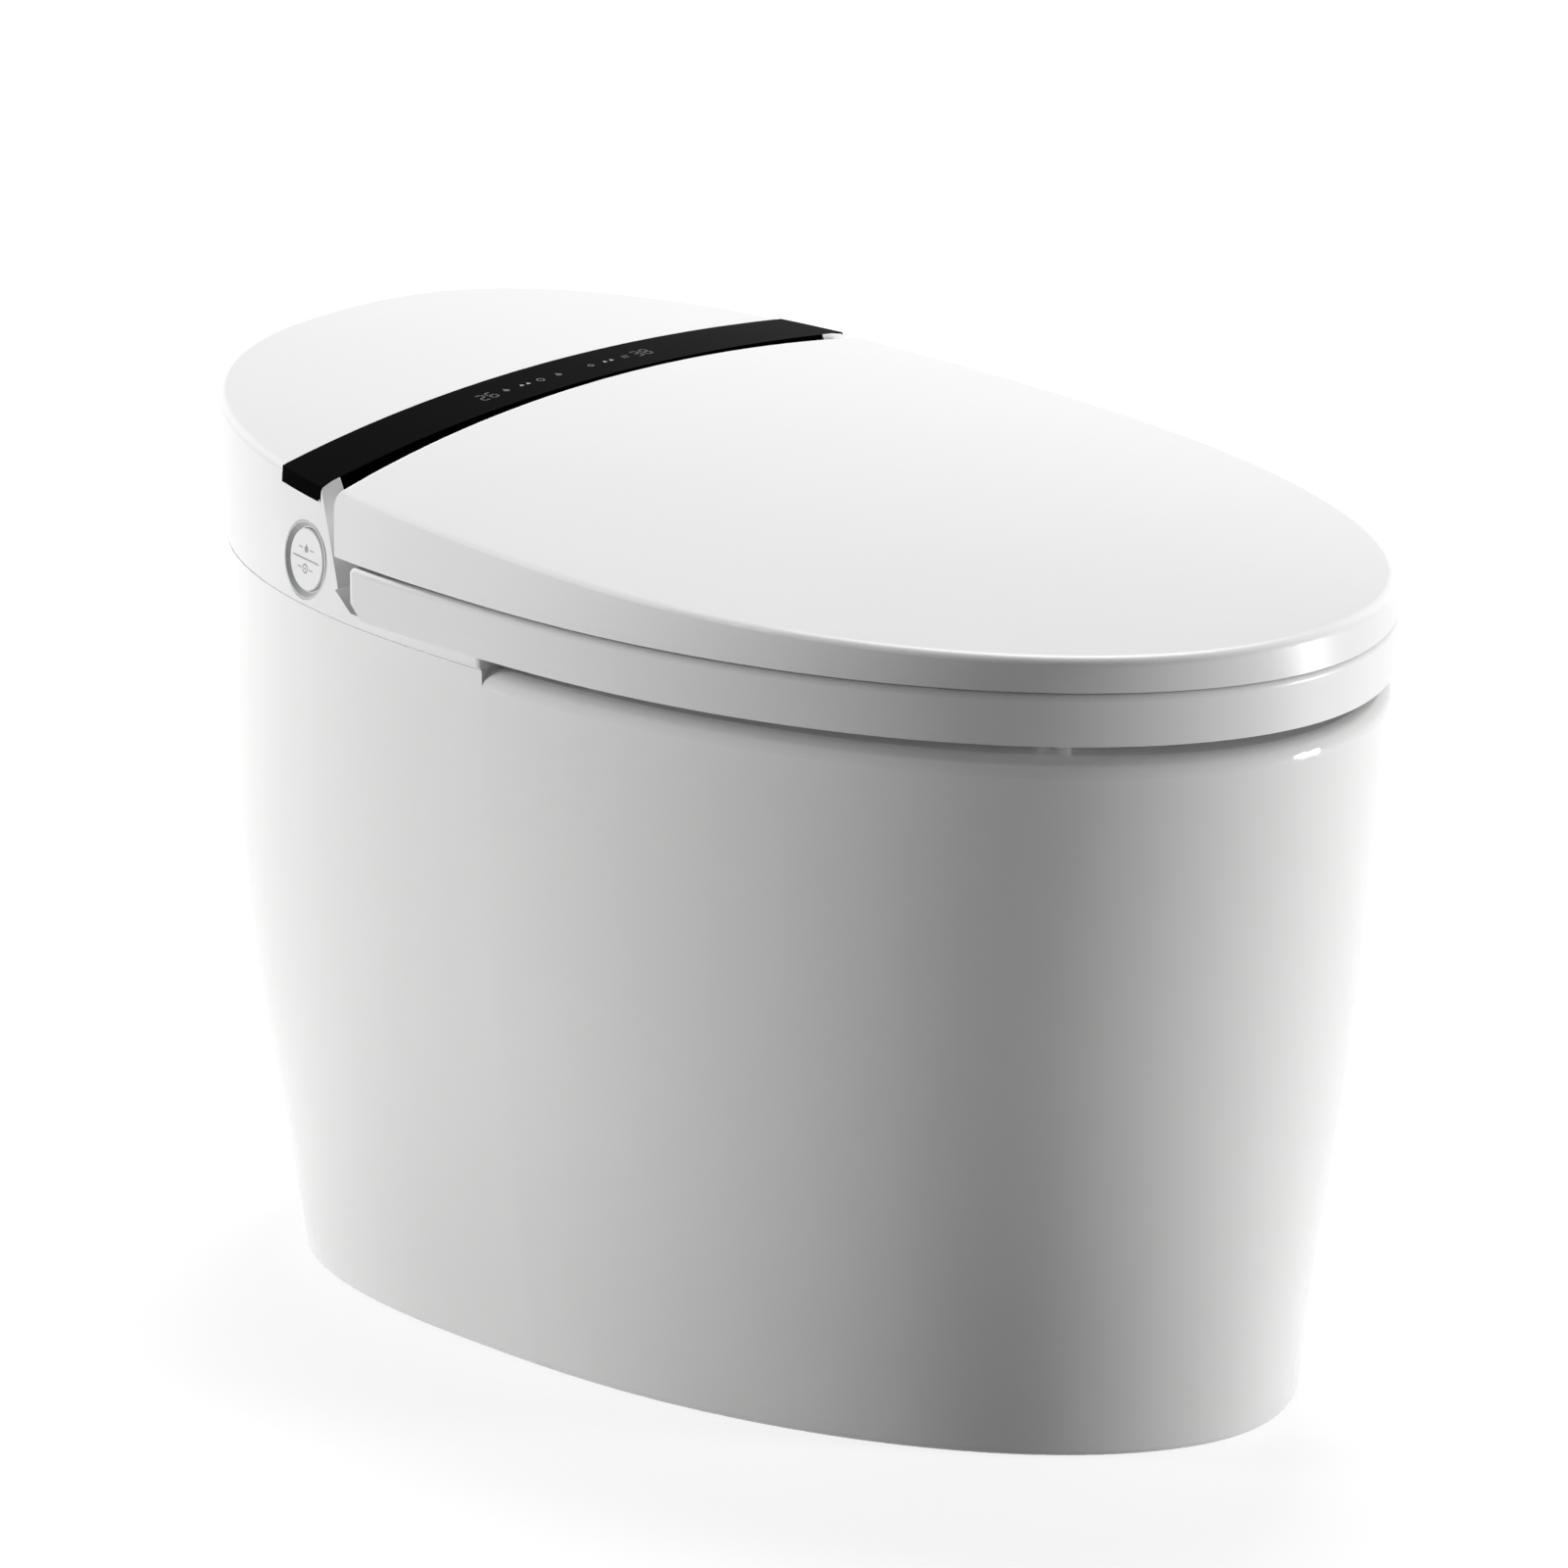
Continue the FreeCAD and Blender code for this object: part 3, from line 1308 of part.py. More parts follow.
def make_dryer_flap():
    """The flap that closes the duct's mouth and swings out with the air."""
    thick = 1.2
    low = Vector(size.duct_centre - FLAP_HALF_WIDTH, FLAP_PLACE - thick, 3 - size.cradle_height / 2)
    high = Vector(size.duct_centre + FLAP_HALF_WIDTH, FLAP_PLACE, FLAP_PIN_HEIGHT)
    roll = flap_pin(FLAP_PIN_RADIUS + 0.6, FLAP_HALF_WIDTH)
    axle = flap_pin(FLAP_PIN_RADIUS, FLAP_HALF_WIDTH + 3.4)
    sloped("dryer_flap", box_between(low, high).fuse([roll, axle]))


WAND_START = 14.0
TIP_LENGTH = 16.0
FLAP_ROOM = 3.0
FLAP_PLACE = 1.0
FLAP_PIN_RADIUS = 1.2
FLAP_HALF_WIDTH = size.duct_width / 2 - size.duct_wall
FLAP_PIN_HEIGHT = size.cradle_height / 2 - 3.2
make_wand("rear_wash_wand", 0)
make_wand("front_wash_wand", 1)
make_nozzle_cradle()
make_nozzle_motor()
make_nozzle_hood()
make_dryer_duct()
make_dryer_flap()


# ------------------------------------------------------------------ chassis and the machinery on it

CHASSIS_TOP = size.rim_height + size.chassis_thickness
ON_CHASSIS = "rim_height + chassis_thickness"


def make_chassis_plate():
    """The plate on the deck that carries the machinery, with ways for hoses, cables and the hood."""
    plate = chassis_blank(0)
    notch = box_between(Vector(HOOD_LEFT - 1, 0, 0), Vector(HOOD_RIGHT + 1, STRIP_FRONT + 9, FAR))
    plate = plate.cut(notch)
    for x, y in CHASSIS_SCREWS:
        plate = plate.cut(Part.makeCylinder(size.screw_radius + size.fit_gap, 20,
                                            Vector(x, y, size.rim_height - 1)))
    button_room = disc(size.button_ring_radius + 1, -30, 10)
    button_room.Placement = BUTTON_FRAME
    plate = plate.cut(button_room)
    for x in (-30, 10):
        plate = plate.cut(Part.makeCylinder(12, 20, Vector(x, size.wash_pump_place, size.rim_height - 1)))
    return plate


def make_blower_case():
    """The blower's round case with its outlet to the drying duct."""
    x, y, wall = size.blower_side, size.blower_place, size.duct_wall
    top = CHASSIS_TOP + size.blower_height
    left, right = size.duct_centre - size.duct_width / 2, size.duct_centre + size.duct_width / 2
    low, high = CHASSIS_TOP + size.blower_floor - 0.5, CHASSIS_TOP + 36
    case = Part.makeCylinder(size.blower_radius, size.blower_height, Vector(x, y, CHASSIS_TOP))
    case = case.fuse(box_between(Vector(left - wall, STRIP_FRONT + 18.5, low - wall),
                                 Vector(right + wall, y, high + wall)))
    room = Part.makeCylinder(size.blower_radius - wall, size.blower_height - size.blower_floor + 1 - wall,
                             Vector(x, y, low + 0.5 - wall / 2))
    way = box_between(Vector(left - size.fit_gap, 0, low), Vector(right + size.fit_gap, y, high))
    eye = Part.makeCylinder(size.blower_shaft + 2, 20, Vector(x, y, top - 10))
    return case.cut(room).cut(way).cut(eye)


def make_rotor(name, radius, hub, height, shaft, shaft_top, blade, count):
    """A spinning wheel: a disc, a hub, a ring of blades and a shaft upwards."""
    body = new_body(name)
    plan = new_sketch(body, name + "_disc_plan")
    draw_circle(plan, radius)
    pad(body, plan, "2", name + "_disc")
    hub_plan = new_sketch(body, name + "_hub_plan")
    draw_circle(hub_plan, hub)
    pad(body, hub_plan, height, name + "_hub")
    shaft_plan = new_sketch(body, name + "_shaft_plan")
    draw_circle(shaft_plan, shaft)
    pad(body, shaft_plan, shaft_top, name + "_shaft")
    blades = new_sketch(body, name + "_blade_plan")
    draw_outline(blades, (f"({radius}) - ({blade})", "-0.8"), (f"({radius}) - 0.5", "-0.8"),
                 (f"({radius}) - 0.5", "0.8"), (f"({radius}) - ({blade})", "0.8"))
    first = pad(body, blades, height, name + "_blade")
    repeat(body, first, blades, count, name + "_blades")
    return body


def make_blower():
    """The blower with its drum rotor and its sealed motor on top."""
    shaped("blower_case", make_blower_case())
    rotor = make_rotor("blower_rotor", "blower_rotor_radius", "8", "28", "blower_shaft",
                       "blower_height - blower_floor + 10", "9", 20)
    place(rotor, "blower_side", "blower_place", ON_CHASSIS + " + blower_floor + 1.5")
    motor = rod("blower_motor_blank", "blower_motor_radius", "blower_motor_length", "blower_side",
                "blower_place", ON_CHASSIS + " + blower_height")
    bore = rod("blower_motor_bore", "blower_shaft + running_gap", "14", "blower_side", "blower_place",
               ON_CHASSIS + " + blower_height - 1")
    keep(cut("blower_motor_bored", motor, bore), "blower_motor")


def make_deodoriser():
    """The small fan that draws air through a block of carbon."""
    x, y = "fan_side", "fan_place"
    frame = block("fan_frame", "fan_size", "fan_size", "fan_height", x, y, ON_CHASSIS)
    way = rod("fan_way", "fan_bore", "fan_height - 2", x, y, ON_CHASSIS + " + 4")
    well = rod("fan_well", "fan_shaft + running_gap", "4", x, y, ON_CHASSIS + " + 1")
    outlet = block("fan_outlet", "fan_size", "16", "10", x + " - fan_size / 2", y, ON_CHASSIS + " + 8")
    keep(cut("fan_frame_cut", frame, way, well, outlet), "deodoriser_case")
    fan = make_rotor("deodoriser_fan", "fan_bore - 2", "5", "10", "fan_shaft", "12", "13", 7)
    fan.Placement = Placement(Vector(), Rotation(X_AXIS, 180))
    place(fan, x, y, ON_CHASSIS + " + 15")
    carbon = block("carbon_block", "fan_size", "fan_size", "carbon_height", x, y,
                   ON_CHASSIS + " + fan_height")
    cells = [block(f"carbon_cell_{i}", "3", "fan_size - 10", "carbon_height - 3",
                   f"{x} + {(i - 2.5) * 7}", y, ON_CHASSIS + " + fan_height - 1") for i in range(6)]
    keep(cut("carbon_cut", carbon, *cells), "carbon_cartridge")


def make_water_works():
    """The flow heater and the small pump for the washing water."""
    shell = block("heater_shell", "heater_width", "heater_length", "heater_height", "heater_side",
                  "heater_place", ON_CHASSIS)
    ribs = [block(f"heater_groove_{i}", "heater_width + 2", "3", "3", "heater_side",
                  f"heater_place + {(i - 1.5) * 16}", ON_CHASSIS + " + heater_height - 3")
            for i in range(4)]
    keep(cut("heater_cut", shell, *ribs), "instant_heater")
    height = ON_CHASSIS + " + wash_pump_radius"
    motor = rod("wash_motor", "wash_pump_radius", "wash_motor_length", "wash_pump_side - wash_motor_length",
                "wash_pump_place", height, LIE_ALONG_X)
    head = block("wash_head", "wash_head_length", "2 * wash_pump_radius", "2 * wash_pump_radius",
                 "wash_pump_side + wash_head_length / 2", "wash_pump_place", ON_CHASSIS)
    spout = rod("wash_spout", "4", "20", "wash_pump_side + wash_head_length / 2", "wash_pump_place",
                ON_CHASSIS + " + 2 * wash_pump_radius - 1")
    keep(join("wash_pump_joined", motor, head, spout), "wash_pump")


def make_control_box():
    """The controller: a tray, a circuit board on its floor and a cover."""
    x, y, wall = "control_side", "control_place", "control_wall"
    low = "control_height * 0.6"
    tray = block("tray_blank", "control_width", "control_length", low, x, y, ON_CHASSIS)
    room = block("tray_room", f"control_width - 2 * {wall}", f"control_length - 2 * {wall}", low,
                 x, y, f"{ON_CHASSIS} + {wall}")
    keep(cut("tray_cut", tray, room), "control_tray")
    board = block("board_plate", f"control_width - 2 * {wall} - 1", f"control_length - 2 * {wall} - 1", "1.6",
                  x, y, f"{ON_CHASSIS} + {wall}")
    chips = [block(f"chip_{i}", "14", "14", "5", f"{x} + {(i - 1) * 30}", y, f"{ON_CHASSIS} + {wall} + 1")
             for i in range(3)]
    keep(join("board_joined", board, *chips), "control_board")
    lid = block("cover_blank", "control_width", "control_length", f"control_height - {low}", x, y,
                f"{ON_CHASSIS} + {low}")
    hollow = block("cover_room", f"control_width - 2 * {wall}", f"control_length - 2 * {wall}",
                   f"control_height - {low}", x, y, f"{ON_CHASSIS} + {low} - {wall}")
    keep(cut("cover_cut", lid, hollow), "control_cover")


shaped("chassis_plate", make_chassis_plate())
make_screws("chassis_screws", CHASSIS_SCREWS, CHASSIS_TOP)
make_blower()
make_deodoriser()
make_water_works()
make_control_box()


# ------------------------------------------------------------------ flushing works below the deck

SHELF_TOP = size.frame_shelf + size.frame_thickness
ON_SHELF = "frame_shelf + frame_thickness"


def make_service_frame():
    """A steel shelf for the flushing works, hung from the chassis by its back plate."""
    thick, back = size.frame_thickness, size.frame_back
    shelf = box_between(Vector(-size.frame_half_width, size.frame_front, size.frame_shelf),
                        Vector(size.frame_half_width, back, SHELF_TOP))
    plate = box_between(Vector(-size.plate_half_width, back - thick, size.frame_shelf),
                        Vector(size.plate_half_width, back, size.rim_height))
    room = body_outline(size.frame_shelf).inset(size.ceramic_wall + 2)
    shelf = shelf.common(room.prism(size.frame_shelf - 1, SHELF_TOP + 1))
    frame = shelf.fuse(plate)
    for x in (size.supply_side, size.gland_side):
        frame = frame.cut(Part.makeCylinder(size.hose_radius + 1, 20,
                                            service_point(x, back - 10), Y_AXIS))
    return frame


def make_booster_tank():
    """The closed tank that holds the water for one flush, with a port on top and one at the side."""
    base = Vector(size.tank_side, size.works_place, SHELF_TOP)
    tank = Part.makeCylinder(size.tank_radius, size.tank_length, base)
    tank = tank.makeFillet(8, [edge for edge in tank.Edges if edge.BoundBox.ZLength < 1])
    wall = size.tank_wall
    room = Part.makeCylinder(size.tank_radius - wall, size.tank_length - 2 * wall, base + Vector(0, 0, wall))
    room = room.makeFillet(8 - wall, [edge for edge in room.Edges if edge.BoundBox.ZLength < 1])
    socket = size.hose_radius + size.fit_gap
    top_port = Part.makeCylinder(socket, 30, base + Vector(0, 0, size.tank_length - 15))
    side_port = Part.makeCylinder(socket, size.tank_radius + 5,
                                  Vector(size.tank_side, size.works_place, size.low_hose_height),
                                  Vector(-1, 0, 0))
    return tank.cut(room).cut(top_port).cut(side_port)


def make_flush_pump():
    """The pump's case on the shelf with one inlet port and two outlets."""
    base = Vector(size.pump_side, size.works_place, SHELF_TOP)
    wall, radius = size.pump_wall, size.pump_radius
    case = Part.makeCylinder(radius, size.pump_length, base)
    case = case.makeFillet(3, [edge for edge in case.Edges if edge.BoundBox.ZMax < SHELF_TOP + 1])
    room = Part.makeCylinder(radius - wall, size.pump_length - 2 * wall, base + Vector(0, 0, wall))
    eye = Part.makeCylinder(size.impeller_shaft + size.running_gap, 30, base + Vector(0, 0, 40))
    socket = size.hose_radius + size.fit_gap
    ports = [Part.makeCylinder(socket, radius + 5, Vector(base.x, base.y, size.low_hose_height), X_AXIS)]
    for height in (size.jet_hose_height, size.rim_hose_height):
        ports.append(Part.makeCylinder(socket, radius + 5, Vector(base.x, base.y, height), Vector(0, -1, 0)))
    case = case.cut(room).cut(eye)
    for port in ports:
        case = case.cut(port)
    return case


def make_pump_drive():
    """The impeller with its shaft, and the sealed motor above the pump."""
    wheel = make_rotor("pump_impeller", "impeller_radius", "8", "impeller_height", "impeller_shaft",
                       "pump_length + 12", "15", 6)
    place(wheel, "pump_side", "works_place", ON_SHELF + " + pump_wall + 1")
    motor = rod("pump_motor_blank", "motor_radius", "motor_length", "pump_side", "works_place",
                ON_SHELF + " + pump_length")
    bore = rod("pump_motor_bore", "impeller_shaft + running_gap", "20", "pump_side", "works_place",
               ON_SHELF + " + pump_length - 1")
    keep(cut("pump_motor_bored", motor, bore), "pump_motor")


def make_inlet():
    """The water valve behind the back plate and its threaded tail through the body's rear."""
    valve = block("valve_block", "44", "24", "30", "supply_side + 14", "frame_back + 12",
                  "service_height - 15")
    coil = rod("valve_coil", "10", "26", "supply_side + 14", "frame_back + 12", "service_height + 14")
    socket = rod("valve_socket", "hose_radius + fit_gap", "8", "supply_side", "frame_back - 1",
                 "service_height", LIE_ALONG_Y)
    seat = rod("valve_seat", "inlet_radius + inlet_collar + fit_gap", "7", "inlet_side",
               "frame_back + 18", "service_height", LIE_ALONG_Y)
    keep(cut("valve_cut", join("valve_joined", valve, coil), socket, seat), "inlet_valve")
    thread = rod("tail_thread", "inlet_radius", "inlet_thread + 1", "inlet_side",
                 "overall_length / 2 - inlet_thread - 1", "service_height", LIE_ALONG_Y)
    shank = rod("tail_shank", "inlet_radius + inlet_collar",
                "overall_length / 2 - inlet_thread - frame_back - 18", "inlet_side", "frame_back + 18",
                "service_height", LIE_ALONG_Y)
    way = rod("tail_bore", "inlet_radius - 3", "overall_length", "inlet_side", "frame_back + 10",
              "service_height", LIE_ALONG_Y)
    keep(cut("tail_bored", join("tail_joined", shank, thread), way), "inlet_tail")


def make_power_gland():
    """The gland where the power cord enters, with its nut inside."""
    stem = rod("gland_stem", "gland_radius", "37", "gland_side", "frame_back + 20", "service_height",
               LIE_ALONG_Y)
    head = rod("gland_head", "gland_head_radius", "8", "gland_side", "frame_back + 56.5",
               "service_height", LIE_ALONG_Y)
    nut = rod("gland_nut", "gland_head_radius", "6", "gland_side", "frame_back + 27", "service_height",
              LIE_ALONG_Y)
    way = rod("gland_bore", "gland_radius / 2", "80", "gland_side", "frame_back", "service_height",
              LIE_ALONG_Y)
    keep(cut("gland_bored", join("gland_joined", stem, head, nut), way), "power_gland")


def make_hoses():
    """The hoses from the inlet to the tank, on to the pump, and on to the bowl."""
    x, y, z = size.tank_side, size.works_place, size.rim_height - size.deck_thickness - 12
    turn_y = size.frame_back - 16
    supply = [service_point(size.supply_side, size.frame_back + 6), service_point(size.supply_side, turn_y),
              Vector(size.supply_side, turn_y, z), Vector(x, y, z),
              Vector(x, y, SHELF_TOP + size.tank_length - size.tank_wall + 0.5)]
    shaped("supply_hose", tube(supply, size.hose_radius, size.hose_bore, size.hose_bend - 2))
    reach_low = size.pump_side + size.pump_radius - size.pump_wall + 1
    reach_high = size.tank_side - size.tank_radius + size.tank_wall - 0.5
    run = rod("link_run", "hose_radius", str(reach_high - reach_low), str(reach_low), "works_place",
              "low_hose_height", LIE_ALONG_X)
    way = rod("link_bore", "hose_bore", str(reach_high - reach_low + 2), str(reach_low - 1), "works_place",
              "low_hose_height", LIE_ALONG_X)
    keep(cut("link_bored", run, way), "link_hose")
    bowl = loft(bowl_sections(size.bowl_wall + size.fit_gap))
    for name, points in (("jet_hose", jet_points()), ("rim_hose", rim_points())):
        whole = tube(points, size.hose_radius, size.hose_bore, size.hose_bend).cut(bowl)
        shaped(name, max(whole.Solids, key=lambda piece: piece.Volume))


shaped("service_frame", make_service_frame())
shaped("booster_tank", make_booster_tank())
shaped("flush_pump", make_flush_pump())
make_pump_drive()
make_inlet()
make_power_gland()
make_hoses()


# ------------------------------------------------------------------ export

document.recompute()
for item in document.Objects:
    assert not {"Invalid", "Error"} & set(item.State), item.Name
for item in SUB_PARTS:
    assert not item.Shape.isNull() and item.Shape.isValid(), item.Label
os.makedirs("parts", exist_ok=True)
for item in SUB_PARTS:
    item.Shape.exportStep(f"parts/{item.Label}.step")
print(len(SUB_PARTS), "sub-parts")
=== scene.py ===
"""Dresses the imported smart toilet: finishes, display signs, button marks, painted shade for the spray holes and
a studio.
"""

import json
import math

import bmesh
import bpy
from bpy.props import FloatProperty, FloatVectorProperty, IntProperty, PointerProperty, StringProperty
from mathutils import Matrix, Vector
from mathutils.bvhtree import BVHTree


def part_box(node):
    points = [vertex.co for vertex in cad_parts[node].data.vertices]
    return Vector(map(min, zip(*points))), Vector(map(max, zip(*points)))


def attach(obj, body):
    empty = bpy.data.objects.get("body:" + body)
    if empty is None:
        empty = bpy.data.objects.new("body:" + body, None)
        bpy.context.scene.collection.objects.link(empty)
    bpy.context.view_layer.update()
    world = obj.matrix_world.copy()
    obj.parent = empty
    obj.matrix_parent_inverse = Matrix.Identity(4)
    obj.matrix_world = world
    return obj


bl_info = {
    "name": "Smart toilet",
    "version": (1, 0, 0),
    "blender": (4, 5, 0),
    "location": "View3D > Sidebar > Toilet",
    "description": "Finishes, signs and a studio for a smart toilet with a heated seat",
    "category": "Object",
}

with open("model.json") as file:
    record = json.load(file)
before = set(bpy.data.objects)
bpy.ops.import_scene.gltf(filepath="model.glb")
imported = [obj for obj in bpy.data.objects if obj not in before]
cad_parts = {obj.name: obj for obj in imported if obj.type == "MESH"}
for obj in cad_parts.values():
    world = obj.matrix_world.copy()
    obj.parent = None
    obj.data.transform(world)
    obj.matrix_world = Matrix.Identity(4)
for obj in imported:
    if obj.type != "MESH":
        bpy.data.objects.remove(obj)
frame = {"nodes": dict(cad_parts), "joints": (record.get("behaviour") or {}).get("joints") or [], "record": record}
NODES = frame["nodes"]
SLOTS = {row["node"]: row["material_slot"] for row in frame["record"]["subparts"]}
JOINTS = {joint["name"]: joint for joint in frame["joints"]}

SIGN_THICKNESS = 0.00006
PRINT_THICKNESS = 0.00008
DROP_POINT = 1.7


# ------------------------------------------------------------------ sizes and colours that a user may change

def colour_property(name, red, green, blue, description):
    """A colour with its default."""
    return FloatVectorProperty(name=name, description=description, subtype="COLOR", size=3, min=0, max=1,
                               default=(red, green, blue))


def length_property(name, value, description):
    """A length in metres with its default."""
    return FloatProperty(name=name, description=description, unit="LENGTH", default=value, min=0)


def share_property(name, value, description):
    """A share from 0 to 1 with its default."""
    return FloatProperty(name=name, description=description, subtype="FACTOR", default=value, min=0, max=1)


class ToiletFinishes(bpy.types.PropertyGroup):
    """The colours and gloss of the toilet's surfaces."""

    glaze: colour_property("Glaze", 0.80, 0.80, 0.795, "The glazed body")
    plastic: colour_property("White plastic", 0.83, 0.83, 0.83, "Lid, seat and housing")
    satin: colour_property("Satin plastic", 0.74, 0.74, 0.73, "Inner white parts")
    strip: colour_property("Strip", 0.002, 0.002, 0.0025, "The dark display strip")
    ring: colour_property("Button ring", 0.54, 0.55, 0.56, "The grey ring around the flush button")
    marks: colour_property("Marks", 0.30, 0.31, 0.32, "The printed signs on the flush button")
    glow: colour_property("Glow", 0.72, 0.70, 0.72, "The lit signs under the strip")
    steel: colour_property("Steel", 0.60, 0.61, 0.62, "Wands, shafts and brackets")
    brass: colour_property("Brass", 0.60, 0.40, 0.14, "The water inlet")
    pale_rubber: colour_property("Pale rubber", 0.62, 0.62, 0.61, "Bumpers and hoses")
    dark_rubber: colour_property("Dark rubber", 0.02, 0.02, 0.02, "Seals")
    machine: colour_property("Machine grey", 0.13, 0.135, 0.14, "Ducts, pumps and cases")
    glaze_roughness: share_property("Glaze roughness", 0.09, "How blurred the glaze mirrors")
    plastic_roughness: share_property("Plastic roughness", 0.34, "How blurred the white plastic mirrors")


class ToiletDisplay(bpy.types.PropertyGroup):
    """The signs that shine through the strip."""

    left_number: StringProperty(name="Left number", description="Seat warmth", default="26")
    right_number: StringProperty(name="Right number", description="Water warmth", default="38")
    digit_height: length_property("Digit height", 0.0075, "Height of a number")
    sign_size: length_property("Sign size", 0.0046, "Width of a small sign")
    place: length_property("Place", 0.1845, "Where the signs stand along the toilet")
    glow_strength: FloatProperty(name="Glow strength", description="Light of the signs", default=0.55, min=0)


class ToiletButton(bpy.types.PropertyGroup):
    """The printed marks on the flush button."""

    line_length: length_property("Line length", 0.024, "The line that parts the two halves")
    line_width: length_property("Line width", 0.0006, "Its width")
    sign_size: length_property("Sign size", 0.0042, "Size of the signs in both halves")


class ToiletSprays(bpy.types.PropertyGroup):
    """The spray holes of the wash wands, drawn as flat dark discs of painted shade."""

    rear_rows: IntProperty(name="Rear rows", description="Rows of holes in the rear wand", default=2, min=1)
    front_rows: IntProperty(name="Front rows", description="Rows of holes in the front wand", default=3,
                            min=1)
    hole_radius: length_property("Hole radius", 0.0006, "Radius of one hole")
    spacing: length_property("Spacing", 0.0022, "From hole to hole")
    shift: length_property("Shift", 0.0015, "How far the holes lie towards the wand's end")


class ToiletStudio(bpy.types.PropertyGroup):
    """Camera, lamps and floor."""

    azimuth: FloatProperty(name="Azimuth", description="Angle of the camera round the toilet",
                           subtype="ANGLE", default=math.radians(-46.0911))
    elevation: FloatProperty(name="Elevation", description="Angle of the camera above the horizon",
                             subtype="ANGLE", default=math.radians(18.4105))
    roll: FloatProperty(name="Roll", description="Tilt of the picture", subtype="ANGLE",
                        default=math.radians(-0.2514))
    eye: FloatVectorProperty(name="Eye", description="Place of the camera", subtype="TRANSLATION", size=3,
                             default=(-4.031965, -3.860150, 2.127504))
    lens: FloatProperty(name="Lens", description="Focal length in mm on a 36 mm wide sensor",
                        default=269.717, min=1)
    key_power: FloatProperty(name="Key", description="Power of the lamp overhead", unit="POWER", default=45)
    side_power: FloatProperty(name="Side", description="Power of the lamp on the button's side",
                              unit="POWER", default=187)
    rim_power: FloatProperty(name="Rim", description="Power of the lamp at the front right",
                             unit="POWER", default=92)
    ambient: share_property("Ambient", 0.04, "Light from all round")
    floor_size: length_property("Floor size", 24.0, "Width of the floor")


SETTINGS = {"toilet_finishes": ToiletFinishes, "toilet_display": ToiletDisplay,
            "toilet_button": ToiletButton, "toilet_sprays": ToiletSprays,
            "toilet_studio": ToiletStudio}


# ------------------------------------------------------------------ finishes

class Signal:
    """A shader socket that adds Math nodes when it takes part in a sum or a product."""

    def __init__(self, finish, socket):
        self.finish, self.socket = finish, socket

    def reckon(self, operation, first, second):
        """A Math node on two values."""
        return self.finish.node("ShaderNodeMath", {"operation": operation}, {0: first, 1: second})

    def __add__(self, other):
        return self.reckon("ADD", self, other)

    def __rsub__(self, other):
        return self.reckon("SUBTRACT", other, self)

    def __mul__(self, other):
        return self.reckon("MULTIPLY", self, other)

    def __gt__(self, other):
        return self.reckon("GREATER_THAN", self, other)

    def __lt__(self, other):
        return self.reckon("LESS_THAN", self, other)

    __radd__, __rmul__ = __add__, __mul__


class Finish:
    """A material being made around one Principled shader, patterned on the piece's own coordinates."""

    def __init__(self, name, **constants):
        self.material = bpy.data.materials.new(name)
        self.material.use_nodes = True
        self.tree = self.material.node_tree
        self.shader = self.tree.nodes["Principled BSDF"]
        for label, value in constants.items():
            self.shader.inputs[label.replace("_", " ").title().replace("Ior", "IOR")].default_value = value
        self.place = self.node("ShaderNodeTexCoord", {}, {}, "Object")

    def node(self, kind, settings, sockets, output=0):
        """Any node: its settings first, then a value or a signal for each named socket."""
        item = self.tree.nodes.new(kind)
        for name, value in settings.items():
            setattr(item, name, value)
        for key, value in sockets.items():
            if isinstance(value, Signal):
                self.tree.links.new(value.socket, item.inputs[key])
            else:
                item.inputs[key].default_value = value
        return Signal(self, item.outputs[output])

    def stretched(self, x, y, z):
        """The piece's coordinates, scaled along each axis."""
        return self.node("ShaderNodeMapping", {}, {"Vector": self.place, "Scale": (x, y, z)})

    def noise(self, scale, detail=2.0, where=None):
        """Soft clouds from 0 to 1, with so many to the metre."""
        return self.node("ShaderNodeTexNoise", {},
                         {"Vector": where or self.place, "Scale": scale, "Detail": detail})

    def cells(self, scale, feature="F1"):
        """The distance to the nearest of scattered points."""
        return self.node("ShaderNodeTexVoronoi", {"feature": feature},
                         {"Vector": self.place, "Scale": scale})

    def tint(self, share, low, high):
        """Base colour between two colours."""
        mixed = self.node("ShaderNodeMix", {"data_type": "RGBA"},
                          {0: share, 6: (*low, 1), 7: (*high, 1)}, 2)
        self.tree.links.new(mixed.socket, self.shader.inputs["Base Color"])
        return self

    def rough(self, amount):
        """Roughness that changes over the surface."""
        self.tree.links.new(amount.socket, self.shader.inputs["Roughness"])
        return self

    def relief(self, height, depth, strength=1.0):
        """Fine relief, with its depth in metres."""
        bump = self.node("ShaderNodeBump", {}, {"Height": height, "Distance": depth, "Strength": strength},
                         "Normal")
        self.tree.links.new(bump.socket, self.shader.inputs["Normal"])
        return self


def shade(colour, share):
    """A colour made darker or lighter by a share."""
    return tuple(min(1.0, part * share) for part in colour)


def glazed_ceramic(name, colour, roughness):
    """Vitreous glaze: a clear gloss over a very slightly uneven white body."""
    finish = Finish(name, coat_weight=0.5, coat_roughness=0.03, ior=1.5)
    finish.tint(finish.noise(7, 3), shade(colour, 0.975), shade(colour, 1.01))
    finish.rough(roughness + finish.noise(26, 3) * 0.05)
    return finish.relief(finish.noise(38, 2), 0.00012, 0.35).material


def moulded_plastic(name, colour, roughness, grain=0.00001):
    """Injection-moulded plastic with a faint skin texture."""
    finish = Finish(name, ior=1.47)
    finish.tint(finish.noise(9, 2), shade(colour, 0.98), shade(colour, 1.01))
    finish.rough(roughness - 0.02 + finish.noise(60, 3) * 0.06)
    return finish.relief(finish.noise(1400, 2) + finish.noise(45, 2) * 3.0, grain, 0.5).material


